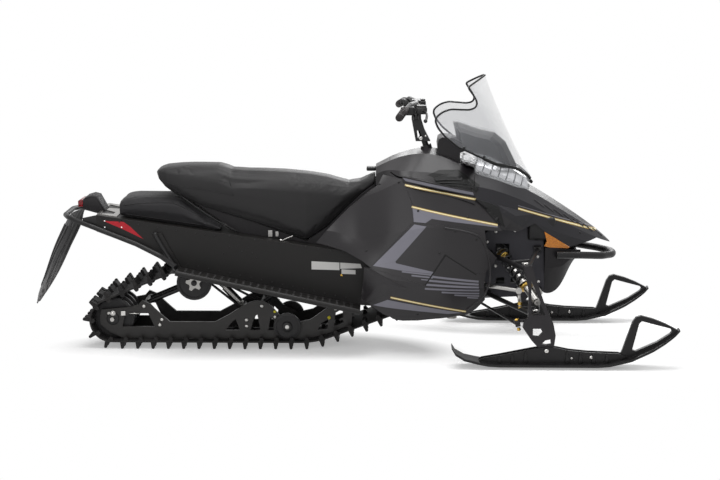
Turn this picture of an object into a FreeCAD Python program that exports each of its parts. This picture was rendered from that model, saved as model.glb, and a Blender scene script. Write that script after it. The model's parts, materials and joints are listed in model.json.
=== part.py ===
import FreeCAD, Part

import math
import os

import Sketcher
from FreeCAD import Placement, Rotation, Vector

# Snowmobile, in millimetres. X points forward, Y to the rider's left, Z up.
# The origin lies on the floor, under the middle of the whole length.

doc = FreeCAD.newDocument("Snowmobile")
sheet = doc.addObject("Spreadsheet::Sheet", "Sizes")
nodes = []


class Size(float):
    """A number that also knows its formula in the sheet of sizes."""

    def __new__(cls, value, text):
        made = float.__new__(cls, value)
        made.text = text
        return made

    def joined(self, other, sign, value, swapped=False):
        first, last = (text_of(other), self.text) if swapped else (self.text, text_of(other))
        return Size(value, f"({first} {sign} {last})")

    def __add__(self, other):
        return self.joined(other, "+", float(self) + float(other))

    def __radd__(self, other):
        return self.joined(other, "+", float(self) + float(other), True)

    def __sub__(self, other):
        return self.joined(other, "-", float(self) - float(other))

    def __rsub__(self, other):
        return self.joined(other, "-", float(other) - float(self), True)

    def __mul__(self, other):
        return self.joined(other, "*", float(self) * float(other))

    def __rmul__(self, other):
        return self.joined(other, "*", float(self) * float(other), True)

    def __truediv__(self, other):
        return self.joined(other, "/", float(self) / float(other))

    def __neg__(self):
        return Size(-float(self), f"(-1 * {self.text})")


def text_of(value):
    """The formula of a size, or a plain number in brackets."""
    return getattr(value, "text", f"({float(value):.6f})")


def size(alias, value, note):
    """Puts one driving dimension in the sheet and returns it."""
    row = size.rows = getattr(size, "rows", 0) + 1
    sheet.set(f"A{row}", note)
    sheet.set(f"B{row}", str(value))
    sheet.setAlias(f"B{row}", alias)
    return Size(value, f"Sizes.{alias}")


# Track and its drive
track_width = size("track_width", 381, "track, across the belt")
belt_thickness = size("belt_thickness", 8, "track belt, thickness")
lug_height = size("lug_height", 32, "track lug, from belt to tip")
lug_base = size("lug_base", 20, "track lug, length at its root")
lug_tip = size("lug_tip", 9, "track lug, length at its tip")
lug_rows = size("lug_rows", 45, "rows of lugs round the track")
idler_radius = size("idler_radius", 99, "rear idler wheel, radius")
idler_place = size("idler_place", -1130, "rear axle, X")
carrier_radius = size("carrier_radius", 84, "upper carrier wheel, radius")
carrier_place = size("carrier_place", -735, "upper carrier axle, X")
carrier_height = size("carrier_height", 318, "upper carrier axle, Z")
drive_radius = size("drive_radius", 88, "drive sprocket, radius")
drive_place = size("drive_place", 176, "drive axle, X")
drive_height = size("drive_height", 256, "drive axle, Z")
ramp_radius = size("ramp_radius", 404, "bend of the belt where it leaves the rails")
ramp_place = size("ramp_place", -230, "start of that bend, X")
bogie_radius = size("bogie_radius", 66, "bogie wheel, radius")
wheel_gap = size("wheel_gap", 0.4, "gap between a wheel and the belt")
wheel_width = size("wheel_width", 22, "track wheel, width of its tyre")
axle_radius = size("axle_radius", 10, "track axles, radius")

# Skid frame
rail_offset = size("rail_offset", 136, "slide rail, middle plane from the centre")
rail_thickness = size("rail_thickness", 14, "slide rail, thickness")
arm_radius = size("arm_radius", 13, "skid frame arms, tube radius")

# Tunnel and running boards
track_clearance = size("track_clearance", 15.5, "gap beside the track inside the tunnel")
tunnel_wall = size("tunnel_wall", 4, "tunnel, sheet thickness")
tunnel_front = size("tunnel_front", 318, "tunnel, front end, X")
board_reach = size("board_reach", 375, "running board, outer edge from the centre")
board_thickness = size("board_thickness", 5, "running board, thickness")
edge_radius = size("edge_radius", 13, "running board edge tube, radius")
bumper_radius = size("bumper_radius", 12, "rear bumper tube, radius")
nose_tube_radius = size("nose_tube_radius", 17, "front bumper tube, radius")
seat_gap = size("seat_gap", 0.3, "gap between a piece and its seat")
panel_gap = size("panel_gap", 0.6, "seam between two body panels")
accessory_radius = size("accessory_radius", 3.3, "accessory bolt holes in the tunnel's sides, radius")

# Seat and bodywork
bag_width = size("bag_width", 340, "storage bag, width")
skin = size("skin", 5, "body panels, thickness")
screen_thickness = size("screen_thickness", 4, "windshield, thickness")

# Front suspension and steering
ski_stance = size("ski_stance", 1080, "distance between the skis' centre lines")
kingpin_offset = size("kingpin_offset", 500, "steering pivot from the centre")
pin_radius = size("pin_radius", 7, "steering pivot pins, radius")
running_gap = size("running_gap", 0.08, "running clearance on a radius")
side_gap = size("side_gap", 0.6, "clearance beside an eye")
eye_radius = size("eye_radius", 19, "suspension arm eye, radius")
eye_height = size("eye_height", 24, "suspension arm eye, height")
tube_radius = size("tube_radius", 11, "suspension arm tubes, radius")
frame_half = size("frame_half", 166, "front frame, outer face of its side plates from the centre")
frame_plate = size("frame_plate", 12, "front frame, thickness of its side plates")
bush_radius = size("bush_radius", 16, "suspension arm inner bushes, radius")
knuckle_thickness = size("knuckle_thickness", 30, "spindle, thickness")
lug_thickness = size("lug_thickness", 9, "spindle lugs, thickness")
spring_radius = size("spring_radius", 31, "shock spring, outer radius of the coil")
spring_wire = size("spring_wire", 5, "shock spring, wire radius")
spring_turns = size("spring_turns", 6, "shock spring, turns")
damper_radius = size("damper_radius", 18, "shock body, radius")
rod_radius = size("rod_radius", 6, "tie rod, radius")
tie_pin_radius = size("tie_pin_radius", 4, "tie rod pin, radius")
ski_bolt_radius = size("ski_bolt_radius", 8, "ski bolt, radius")
ski_width = size("ski_width", 140, "ski, width")
rib_thickness = size("rib_thickness", 8, "ski ribs, thickness")
handle_thickness = size("handle_thickness", 26, "ski handle, thickness")
bar_radius = size("bar_radius", 11, "handlebar tube, radius")
grip_radius = size("grip_radius", 17, "handlebar grip, radius")
bar_reach = size("bar_reach", 380, "handlebar end from the centre")
post_radius = size("post_radius", 14, "steering post, radius")
exhaust_radius = size("exhaust_radius", 23, "exhaust outlet, outer radius")

# Places that several pieces share
belt_floor = lug_height + belt_thickness
tunnel_width = track_width + 2 * (track_clearance + tunnel_wall)
tunnel_side = tunnel_width / 2
kingpin_low = (872, -kingpin_offset, 228)
kingpin_high = (825, -kingpin_offset, 445)
ski_middle = ski_stance / 2
ski_pivot = (915, 80)
steer_low = Vector(384, 0, 915)
steer_high = Vector(303, 0, 1165)
PITMAN_HUB = (691, 0, 240)
EXHAUST = (492, -240, 168)
BOGIE_PLACE = -292

# Gap under the cushion, and the room between the belt's upper run and the arms
SEAT_SLOT = 0.4
BELT_SLACK = 8

# Bolts that hold the rear shock and the front arm between the rails
SHOCK_FOOT = (-505, 168)
FRONT_PIVOT = (-414, 203)
REAR_PIVOT = (-980, 200)

# Accessory bolt holes: middle of the pattern in side view, and its spread along X and Z
ACCESSORY_MIDDLE = (-1110, 607)
ACCESSORY_SPREAD = (80, 30)

# Highest degree of a lofted surface, low enough that it doesn't swing between sections
LOFT_DEGREE = 3


def point(place):
    return Vector(float(place[0]), float(place[1]), float(place[2]))


def bind(thing, name, value):
    """Sets a property and ties it to the sheet when the value has a formula."""
    if "." not in name:
        setattr(thing, name, float(value))
    if hasattr(value, "text"):
        thing.setExpression(name, value.text)


def node(thing, label):
    """Marks an object as one of the sub-parts that are written out."""
    thing.Label = label
    nodes.append(thing)
    return thing


def origin_of(body, role):
    return [item for item in body.Origin.OriginFeatures if item.Role == role][0]


def sketch(body, role, outline):
    """A closed outline of straight lines, each corner placed from the origin."""
    made = body.newObject("Sketcher::SketchObject", "Outline")
    made.AttachmentSupport = (origin_of(body, role), "")
    made.MapMode = "FlatFace"
    count = len(outline)
    corners = [Vector(float(across), float(up), 0) for across, up in outline]
    made.addGeometry([Part.LineSegment(corners[i], corners[(i + 1) % count]) for i in range(count)], False)
    rules = [Sketcher.Constraint("Coincident", i, 2, (i + 1) % count, 1) for i in range(count)]
    for i, (across, up) in enumerate(outline):
        rules.append(Sketcher.Constraint("DistanceX", -1, 1, i, 1, float(across)))
        rules.append(Sketcher.Constraint("DistanceY", -1, 1, i, 1, float(up)))
    made.addConstraint(rules)
    for i, corner in enumerate(outline):
        for side, value in enumerate(corner):
            if hasattr(value, "text"):
                made.setExpression(f"Constraints[{count + 2 * i + side}]", value.text)
    return made


def plate(name, outline, middle, width, role="XZ_Plane", holes=()):
    """A flat piece: an outline given width, half to each side of its middle plane."""
    body = doc.addObject("PartDesign::Body", name)
    pad = body.newObject("PartDesign::Pad", "Pad")
    pad.Profile = sketch(body, role, outline)
    pad.SideType = "Symmetric"
    bind(pad, "Length", width)
    for hole in holes:
        pocket = body.newObject("PartDesign::Pocket", "Pocket")
        pocket.Profile = sketch(body, role, hole)
        pocket.SideType = "Symmetric"
        bind(pocket, "Length", width * 1.5)
    axis = {"XZ_Plane": "y", "XY_Plane": "z", "YZ_Plane": "x"}[role]
    place = {"x": 0.0, "y": 0.0, "z": 0.0}
    place[axis] = float(middle)
    body.Placement = Placement(Vector(place["x"], place["y"], place["z"]), Rotation())
    if hasattr(middle, "text"):
        body.setExpression(f"Placement.Base.{axis}", middle.text)
    return body


def turned(name, outline, place):
    """A wheel or drum: an outline of (radius, Y) turned about the Y axis."""
    body = doc.addObject("PartDesign::Body", name)
    spin = body.newObject("PartDesign::Revolution", "Turn")
    spin.Profile = sketch(body, "XY_Plane", outline)
    spin.ReferenceAxis = (spin.Profile[0], ["V_Axis"])
    spin.Angle = 360
    body.Placement = Placement(point(place), Rotation())
    for axis, value in zip("xyz", place):
        if hasattr(value, "text"):
            body.setExpression(f"Placement.Base.{axis}", value.text)
    return body


def rod(name, start, end, radius):
    """A straight round bar between two points."""
    bar = doc.addObject("Part::Cylinder", name)
    run = point(end) - point(start)
    bar.Height = run.Length
    bind(bar, "Radius", radius)
    bar.Placement = Placement(point(start), Rotation(Vector(0, 0, 1), run))
    return bar


def feature(name, shape):
    made = doc.addObject("Part::Feature", name)
    made.Shape = shape
    return made


def fuse(name, parts):
    made = doc.addObject("Part::MultiFuse", name)
    made.Shapes = parts
    made.Refine = False
    return made


def cut(name, base, tool):
    made = doc.addObject("Part::Cut", name)
    made.Base = base
    made.Tool = tool
    return made


def common(name, parts):
    made = doc.addObject("Part::MultiCommon", name)
    made.Shapes = parts
    return made


def compound(name, parts):
    made = doc.addObject("Part::Compound", name)
    made.Links = parts
    return made


def mirrored(name, thing):
    """The same piece on the left side."""
    made = doc.addObject("Part::Mirroring", name)
    made.Source = thing
    made.Base = Vector(0, 0, 0)
    made.Normal = Vector(0, 1, 0)
    return made


def both_sides(name, thing):
    """One node that holds the right piece and its left twin."""
    return node(compound(name, [thing, mirrored(name + "_twin", thing)]), name)


def right_and_left(name, thing):
    """Two nodes, one each side."""
    node(thing, name + "_right")
    node(mirrored(name + "_left", thing), name + "_left")


def path_of(corners, bend):
    """Straight runs joined by tangent arcs."""
    spots = [point(corner) for corner in corners]
    edges = []
    start = spots[0]
    for before, here, after in zip(spots, spots[1:], spots[2:]):
        back = (before - here).normalize()
        ahead = (after - here).normalize()
        half = back.getAngle(ahead) / 2
        reach = min(bend / math.tan(half), 0.45 * (before - here).Length, 0.45 * (after - here).Length)
        radius = reach * math.tan(half)
        enter = here + back * reach
        leave = here + ahead * reach
        inward = (back + ahead).normalize()
        top = here + inward * (radius / math.sin(half) - radius)
        edges.append(Part.LineSegment(start, enter).toShape())
        edges.append(Part.Arc(enter, top, leave).toShape())
        start = leave
    edges.append(Part.LineSegment(start, spots[-1]).toShape())
    return Part.Wire(edges)


def tube_shape(corners, radius, bend):
    path = path_of(corners, bend)
    start = point(corners[0])
    ring = Part.Wire([Part.makeCircle(float(radius), start, point(corners[1]) - start)])
    return path.makePipeShell([ring], True, True)


def tube(name, corners, radius, bend):
    """A bent round tube."""
    return feature(name, tube_shape(corners, radius, bend))


def inset(line, depth):
    """An open outline moved to its right by a depth, corners kept sharp."""
    moved = []
    for i, here in enumerate(line):
        before = line[max(i - 1, 0)]
        after = line[min(i + 1, len(line) - 1)]
        normals = []
        for first, last in ((before, here), (here, after)):
            run = (last[0] - first[0], last[1] - first[1])
            length = math.hypot(*run)
            if length > 0:
                normals.append((run[1] / length, -run[0] / length))
        across = sum(item[0] for item in normals) / len(normals)
        up = sum(item[1] for item in normals) / len(normals)
        square = across * across + up * up
        moved.append((here[0] + across * depth / square, here[1] + up * depth / square))
    return moved


def shrunk(outline, depth):
    """A closed outline drawn in on every side by a depth."""
    spots = [(float(across), float(up)) for across, up in outline]
    area = sum(a[0] * b[1] - b[0] * a[1] for a, b in zip(spots, spots[1:] + spots[:1]))
    turn = 1 if area > 0 else -1
    moved = []
    for i, here in enumerate(spots):
        normals = []
        for first, last in ((spots[i - 1], here), (here, spots[(i + 1) % len(spots)])):
            run = (last[0] - first[0], last[1] - first[1])
            length = math.hypot(*run)
            normals.append((-turn * run[1] / length, turn * run[0] / length))
        across = (normals[0][0] + normals[1][0]) / 2
        up = (normals[0][1] + normals[1][1]) / 2
        square = across * across + up * up
        moved.append((here[0] + across * depth / square, here[1] + up * depth / square))
    return moved


def section_ring(station, line):
    """A closed wire in the plane X = station."""
    spots = [Vector(float(station), float(across), float(up)) for across, up in line]
    return Part.makePolygon(spots + [spots[0]])


def shell_of(stations, depth):
    """A curved wall through open outlines of (Y, Z), one at each station along X."""
    rings = []
    for station, line in stations:
        rings.append(section_ring(station, list(line) + inset(line, float(depth))[::-1]))
    return Part.makeLoft(rings, True, False, False, LOFT_DEGREE)


def block_of(stations, ruled=False):
    """A closed form through closed outlines of (Y, Z)."""
    rings = [section_ring(station, line) for station, line in stations]
    return Part.makeLoft(rings, True, ruled, False, LOFT_DEGREE)


def largest(shape):
    return max(shape.Solids, key=lambda solid: solid.Volume)


def prism(outline, low, high):
    """A side-view outline given width from low to high across Y."""
    spots = [Vector(float(along), float(low), float(up)) for along, up in outline]
    face = Part.Face(Part.makePolygon(spots + [spots[0]]))
    return face.extrude(Vector(0, float(high) - float(low), 0))


def prism_plan(outline, low, high):
    """An outline seen from above, given height."""
    spots = [Vector(float(along), float(across), float(low)) for along, across in outline]
    face = Part.Face(Part.makePolygon(spots + [spots[0]]))
    return face.extrude(Vector(0, 0, float(high) - float(low)))


def whole(line):
    """The right half of an outline, from its outer end to the centre, made symmetrical."""
    return [(-across, up) for across, up in line] + [(across, up) for across, up in line[-2::-1]]


# Track loop: circles that the belt goes round, in order, with their inner radii
def track_circles():
    return [
        (float(idler_place), float(belt_floor + idler_radius), float(idler_radius)),
        (float(carrier_place), float(carrier_height), float(carrier_radius)),
        (float(drive_place), float(drive_height), float(drive_radius)),
        (float(ramp_place), float(belt_floor + ramp_radius), float(ramp_radius)),
    ]


def track_runs():
    """Angles at which the belt leaves each circle, on its way over the top and forward."""
    circles = track_circles()
    leaves = []
    for first, last in zip(circles, circles[1:] + circles[:1]):
        run = (last[0] - first[0], last[1] - first[1])
        lean = math.asin((last[2] - first[2]) / math.hypot(*run))
        leaves.append(math.atan2(run[1], run[0]) + math.pi / 2 + lean)
    return leaves


def track_stops(grow):
    """Arcs and straight runs of the loop at a distance outside the wheels."""
    circles = track_circles()
    leaves = track_runs()
    pieces = []
    for i, (along, up, radius) in enumerate(circles):
        begin = leaves[i - 1]
        sweep = (begin - leaves[i]) % (2 * math.pi)
        pieces.append(("arc", (along, up), radius + grow, begin, sweep))
        out = circles[(i + 1) % len(circles)]
        first = on_circle(along, up, radius + grow, leaves[i])
        last = on_circle(out[0], out[1], out[2] + grow, leaves[i])
        pieces.append(("line", first, last))
    return pieces


def on_circle(along, up, radius, angle):
    return (along + radius * math.cos(angle), up + radius * math.sin(angle))


def length_of(piece):
    if piece[0] == "arc":
        return piece[2] * piece[4]
    return math.hypot(piece[2][0] - piece[1][0], piece[2][1] - piece[1][1])


def spot_at(pieces, distance):
    """Place and outward direction on the loop, at a distance along it."""
    for piece in pieces:
        length = length_of(piece)
        if distance <= length:
            if piece[0] == "arc":
                angle = piece[3] - distance / piece[2]
                return on_circle(*piece[1], piece[2], angle), (math.cos(angle), math.sin(angle))
            run = ((piece[2][0] - piece[1][0]) / length, (piece[2][1] - piece[1][1]) / length)
            place = (piece[1][0] + run[0] * distance, piece[1][1] + run[1] * distance)
            return place, (-run[1], run[0])
        distance -= length
    raise ValueError("the distance is past the loop's end")


def loop_wire(grow, across):
    edges = []
    for piece in track_stops(grow):
        if piece[0] == "arc":
            steps = [piece[3], piece[3] - piece[4] / 2, piece[3] - piece[4]]
            spots = [on_circle(*piece[1], piece[2], angle) for angle in steps]
            spots = [Vector(spot[0], across, spot[1]) for spot in spots]
            edges.append(Part.Arc(*spots).toShape())
        else:
            ends = [Vector(spot[0], across, spot[1]) for spot in piece[1:]]
            edges.append(Part.LineSegment(*ends).toShape())
    return Part.Wire(edges)


def make_track():
    """An endless belt with a row of lugs at every pitch."""
    half = float(track_width) / 2
    outer = Part.Face(loop_wire(float(belt_thickness), -half))
    inner = Part.Face(loop_wire(0, -half))
    belt = outer.cut(inner).extrude(Vector(0, 2 * half, 0))
    stops = track_stops(float(belt_thickness))
    whole_length = sum(length_of(piece) for piece in stops)
    sunk = float(belt_thickness) / 2
    lugs = []
    for row in range(int(lug_rows)):
        place, out = spot_at(stops, (row + 0.5) * whole_length / float(lug_rows))
        along = (-out[1], out[0])
        corners = []
        for side, rise in ((-1, -sunk), (-1, 0), (1, 0), (1, -sunk)):
            wide = float(lug_base) / 2
            corners.append((side * wide, rise))
        tip = float(lug_tip) / 2
        corners[2:2] = [(-tip, float(lug_height)), (tip, float(lug_height))]
        spots = [(place[0] + along[0] * a + out[0] * b, place[1] + along[1] * a + out[1] * b) for a, b in corners]
        lugs.append(prism(spots, -half + 4, half - 4))
    node(feature("Track", belt.multiFuse(lugs)), "track")


def wheel_outline(radius, hub):
    """Half section of a track wheel: tyre, web and hub."""
    wide = wheel_width / 2
    tyre = radius - 12
    return [
        (axle_radius, -wide),
        (hub, -wide),
        (hub, -4),
        (tyre, -4),
        (tyre, -wide),
        (radius, -wide + 3),
        (radius, wide - 3),
        (tyre, wide),
        (tyre, 4),
        (hub, 4),
        (hub, wide),
        (axle_radius, wide),
    ]


def wheel_set(label, places, radius, hub):
    """Like wheels on one body, as solids that stand apart."""
    wheels = []
    for i, place in enumerate(places):
        wheels.append(turned(f"{label}_{i}", wheel_outline(radius, hub), place))
    node(compound(label, wheels), label)


def make_wheels():
    rear = belt_floor + idler_radius
    far = rail_offset + rail_thickness / 2 + wheel_width / 2 + 4
    near = rail_offset - rail_thickness / 2 - wheel_width / 2 - 4
    middle = 40
    idler = idler_radius - wheel_gap
    wheel_set("rear_wheels", [(idler_place, across, rear) for across in (-near, -middle, middle, near)], idler, 26)
    carrier = carrier_radius - wheel_gap
    wheel_set("carrier_wheels", [(carrier_place, -far, carrier_height),
                                 (carrier_place, far, carrier_height)], carrier, 34)
    height = belt_floor + bogie_radius
    low = bogie_radius - wheel_gap
    wheel_set("bogie_wheels", [(BOGIE_PLACE, side * far, height) for side in (-1, 1)], low, 22)


def make_axles():
    rear = float(belt_floor + idler_radius)
    reach = float(rail_offset + rail_thickness / 2 + wheel_width + 8)
    low = float(belt_floor + bogie_radius)
    shafts = []
    for name, along, up in (("Rear_axle", float(idler_place), rear), ("Bogie_axle", BOGIE_PLACE, low)):
        shafts.append(rod(name, (along, -reach, up), (along, reach, up), axle_radius - running_gap))
    node(compound("skid_axles", shafts), "skid_axles")


def make_rails():
    """Slide rails: deep at the rear axle, straight along the floor, curved up in front."""
    foot = belt_floor + 3
    outline = [
        (-1192, 150), (-1185, 182), (-1060, 194), (-1010, 204), (-989, 228), (-951, 212), (-930, 190),
        (-880, 144), (-856, 124), (-640, 124), (-567, 163), (-500, 207), (-450, 228), (-400, 226), (-370, 205),
        (-330, 160), (-250, 122), (-180, 138), (-110, 188), (-50, 222), (-16, 232), (10, 222), (24, 196), (14, 112),
        (-60, 84), (-120, 64), (-170, 52), (-230, foot), (-1080, foot), (-1140, 70), (-1190, 110),
    ]
    holes = [
        [(-1085, 100), (-1075, 150), (-1030, 165), (-960, 165), (-930, 100)],
        [(-590, 84), (-560, 122), (-540, 138), (-520, 84)],
        [(-470, 84), (-450, 150), (-436, 160), (-420, 84)],
        [(-385, 84), (-372, 150), (-352, 130), (-348, 84)],
        [(-150, 84), (-130, 120), (-95, 140), (-100, 90)],
        [(-70, 104), (-62, 170), (-28, 190), (-22, 120)],
    ]
    bores = []
    for along, up in ((float(idler_place), float(belt_floor + idler_radius)),
                      (BOGIE_PLACE, float(belt_floor + bogie_radius))):
        bores.append(rod("Axle_bore", (along, -200, up), (along, 0, up), axle_radius + 0.2))
    rail = plate("Rail_blank", outline, -rail_offset, rail_thickness, holes=holes)
    rail = cut("Rail", rail, compound("Rail_bores", bores))
    both_sides("slide_rails", rail)


def make_tunnel():
    """Folded sheet over the track: a top and two sides, open below and at both ends."""
    outline = [(-1190, 572), (-1190, 650), (-600, 565), (100, 464), (tunnel_front, 433),
               (tunnel_front, 205), (60, 222), (-800, 400), (-860, 440), (-1000, 500)]
    wall = tunnel_wall
    room = [(-1300, 380), (-1300, 666 - wall), (-600, 565 - wall), (100, 464 - wall), (340, 430 - wall),
            (340, 150), (-700, 150)]
    body = plate("Tunnel", outline, 0, tunnel_width)
    pocket = body.newObject("PartDesign::Pocket", "Room")
    pocket.Profile = sketch(body, "XZ_Plane", room)
    pocket.SideType = "Symmetric"
    bind(pocket, "Length", tunnel_width - 2 * wall)
    bores = []
    for across in (-ACCESSORY_SPREAD[0], ACCESSORY_SPREAD[0]):
        for rise in (-ACCESSORY_SPREAD[1], ACCESSORY_SPREAD[1]):
            along, up = ACCESSORY_MIDDLE[0] + across / 2, ACCESSORY_MIDDLE[1] + rise / 2
            bores.append(rod("Accessory_bore", (along, -300, up), (along, 300, up), accessory_radius))
    node(cut("Tunnel_bored", body, compound("Accessory_bores", bores)), "tunnel")


def make_running_boards():
    """Perforated board with a tube along its edge and a flat strut up to the tunnel."""
    board = [(-800, 403), (60, 222), (60, 222 - board_thickness), (-800, 403 - board_thickness)]
    width = board_reach - tunnel_side - edge_radius
    middle = -(tunnel_side + width / 2 + 0.2)
    flat = plate("Board", board, middle, width)
    reach = -float(board_reach - edge_radius / 2)
    edge = rod("Board_edge", (-800, reach, 401), (60, reach, 220), edge_radius)
    strut = plate("Kick_up", [(-912, 562), (-880, 566), (-792, 400), (-828, 396)],
                  -(tunnel_side + 5.2), 10)
    heel = plate("Heel", [(-828, 396), (-800, 403.3), (-792, 400), (-792, 396)], middle, width)
    right_and_left("running_board", fuse("Running_board", [flat, edge, strut, heel]))


def make_rear_bumper():
    side = float(tunnel_side + bumper_radius + 0.2)
    corners = [(-800, -340, 424), (-880, -side - 30, 460), (-1000, -side, 514), (-1215, -side, 599),
               (-1322, -side + 30, 634), (-1352, -110, 637)]
    corners += [(x, -y, z) for x, y, z in corners[::-1]]
    node(tube("Rear_bumper", corners, bumper_radius, 60), "rear_bumper")


def make_flap():
    """Snow flap: a rubber sheet curved round the back of the track, with a pointed foot."""
    thick = 7
    levels = [(630, -1341.2, -1290, 150), (600, -1362, -1298, 158), (517, -1403, -1320, 164),
              (446, -1433, -1359, 165), (386, -1454, -1390, 164), (320, -1477, -1426, 154), (275, -1496, -1453, 132), (229, -1512, -1485, 88),
              (190, -1522, -1514, 30)]
    rings = []
    for up, middle, edge, half in levels:
        back = Part.Arc(Vector(edge, -half, up), Vector(middle, 0, up), Vector(edge, half, up))
        front = Part.Arc(Vector(edge + thick, half, up), Vector(middle + thick, 0, up),
                         Vector(edge + thick, -half, up))
        ends = [Part.LineSegment(Vector(edge, half, up), Vector(edge + thick, half, up)),
                Part.LineSegment(Vector(edge + thick, -half, up), Vector(edge, -half, up))]
        rings.append(Part.Wire([back.toShape(), ends[0].toShape(), front.toShape(), ends[1].toShape()]))
    node(feature("Snow_flap", Part.makeLoft(rings, True, False, False, LOFT_DEGREE)), "snow_flap")


def make_tail():
    """Cut-out plate over the tunnel's end, and the lamp housing that stands on it."""
    front, back = -1096, -1189
    deck = [(back, tunnel_top(back) + seat_gap), (back, tunnel_top(back) + 3.5), (front, tunnel_top(front) + 3.5),
            (front, tunnel_top(front) + seat_gap)]
    windows = [prism_plan([(-1176, -150), (-1120, -120), (-1120, -60), (-1176, -30)], 600, 700),
               prism_plan([(-1176, 150), (-1120, 120), (-1120, 60), (-1176, 30)], 600, 700)]
    deck = cut("Tail_deck", plate("Tail_sheet", deck, 0, 360), compound("Tail_windows", [
        feature("Tail_window", window) for window in windows]))
    node(deck, "tail_plate")
    housing = [(-1292, 672), (-1292, 709), (-1251, 731), (-1217, 728), (-1190, 702), (-1156, 655),
               (-1156, tunnel_top(-1156) + 4), (-1189, tunnel_top(-1189) + 4), (-1280, 655)]
    node(plate("Tail_housing", housing, 0, 124), "tail_housing")
    lamp = [(-1300, 672), (-1292.3, 672), (-1292.3, 709), (-1298, 709)]
    node(plate("Tail_lamp", lamp, 0, 110), "tail_lamp")


def tunnel_top(along):
    """Height of the tunnel's top at a place along it."""
    return 650 + (565 - 650) * (along + 1190) / (1190 - 600) if along < -600 else 565 - 101 * (along + 600) / 700


def make_seat():
    """Seat cushion: wide at the back, narrow and raised where it meets the console."""
    stations = [(-920, 850, 824, 108), (-872, 872, 775, 138), (-800, 876, 741, 146), (-700, 876, 702, 150),
                (-610, 876, 664, 150), (-555, 856, 642, 150), (-400, 849, 588, 150), (-200, 835, 516, 145),
                (-100, 820, 584, 132), (0, 792, 684, 118), (60, 800, 740, 105), (130, 838, 792, 96)]
    rings = []
    for along, top, low, half in stations:
        crown = (top - low) * 0.16
        side = [(-half, low + crown), (-half * 0.9, top - crown), (-half * 0.62, top)]
        rings.append((along, [(-half * 0.94, low)] + side + [(-y, z) for y, z in side[::-1]] + [(half * 0.94, low)]))
    node(feature("Cushion", block_of(rings, True)), "seat")


def make_seat_base():
    """Moulded base between the cushion and the tunnel, with the tank's front under the cushion's nose."""
    outline = [(-782, 733), (-700, 701), (-610, 663), (-555, 641), (-400, 587), (-200, 515), (-100, 583),
               (0, 683), (60, 739), (126, 789)]
    outline = [(along, up - SEAT_SLOT) for along, up in outline]
    outline += [(126, tunnel_top(126) + seat_gap), (-530, tunnel_top(-530) + seat_gap)]
    node(plate("Seat_base", outline, 0, 230), "seat_base")


def make_bag():
    """Storage bag: a wide foot on the tunnel, sides that lean in, and a crowned top."""
    half = float(bag_width) / 2
    rings = []
    for along, top in ((-1086, 704), (-1066, 722), (-1035, 730), (-940, 735), (-840, 740), (-795, 733), (-690, 658),
                       (-600, 594)):
        foot = tunnel_top(along) + float(seat_gap)
        rise = top - foot
        side = [(-half, foot), (-half, foot + rise * 0.45), (-half * 0.86, foot + rise * 0.84),
                (-half * 0.45, top)]
        rings.append((along, side + [(-across, up) for across, up in side[::-1]]))
    node(feature("Storage_bag", block_of(rings, True)), "storage_bag")


# Side bodywork: the outer surface of the right side, from its foot to its top edge
COWL = [
    (-160, [(215, 300), (235, 430), (228, 540), (192, 640), (152, 720)]),
    (0, [(262, 250), (300, 430), (262, 560), (208, 700), (162, 790)]),
    (120, [(300, 232), (360, 420), (308, 560), (238, 760), (178, 832)]),
    (215, [(312, 176), (378, 375), (342, 590), (258, 806), (174, 858)]),
    (270, [(310, 166), (386, 366), (351, 600), (262, 826), (172, 872)]),
    (400, [(312, 172), (392, 345), (362, 620), (272, 796), (172, 846)]),
    (540, [(308, 190), (380, 335), (352, 606), (266, 766), (160, 822)]),
    (650, [(290, 225), (350, 335), (330, 594), (248, 738), (150, 786)]),
    (745, [(262, 260), (318, 345), (300, 588), (218, 705), (140, 742)]),
]


def cowl_shape(sink, depth):
    """The side wall's solid, its outer face sunk below the true outer surface."""
    stations = []
    for along, line in COWL:
        right = [(-across, up) for across, up in line]
        stations.append((along, inset(right, sink)))
    return shell_of(stations, depth)


def body_panel(name, outline):
    """A piece of the side wall, inside an outline seen from the side."""
    wall = feature(name + "_wall", cowl_shape(0, skin))
    window = plate(name + "_window", shrunk(outline, panel_gap / 2), -250, 480)
    return common(name + "_piece", [wall, window])


# Seams between the side panels, seen from the side
KNEE_FRONT = [(263, 824), (304, 715), (309, 641), (119, 437)]
UPPER_FOOT = [(309, 641), (366, 629), (400, 633), (500, 621), (600, 606), (640, 600)]
LOWER_TOP = [(119, 437), (110, 427), (361, 351), (455, 493), (602, 397), (647, 407)]
UPPER_FRONT = [(722, 594), (700, 640), (660, 690), (597, 739)]


def make_side_panels():
    knee = [(-150, 524), (-96, 588), (4, 688), (104, 772), (140, 795), (165, 842)] + KNEE_FRONT
    knee += [(110, 427), (70, 455), (-10, 490), (-80, 508)]
    right_and_left("knee_panel", body_panel("Knee", knee))
    upper = KNEE_FRONT[:3][::-1] + [(420, 786), (562, 752)] + UPPER_FRONT[::-1] + UPPER_FOOT[:0:-1]
    right_and_left("upper_panel", body_panel("Upper", upper))
    side = UPPER_FOOT + [(650, 520), (700, 468)] + LOWER_TOP[::-1][:-1] + [(119, 437)]
    right_and_left("side_panel", body_panel("Side", side))
    lower = LOWER_TOP[1:] + [(638, 340), (645, 270), (604, 225), (560, 196), (400, 176), (330, 168), (228, 166),
                             (200, 186), (70, 232), (78, 425)]
    right_and_left("lower_panel", body_panel("Lower", lower))


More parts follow.
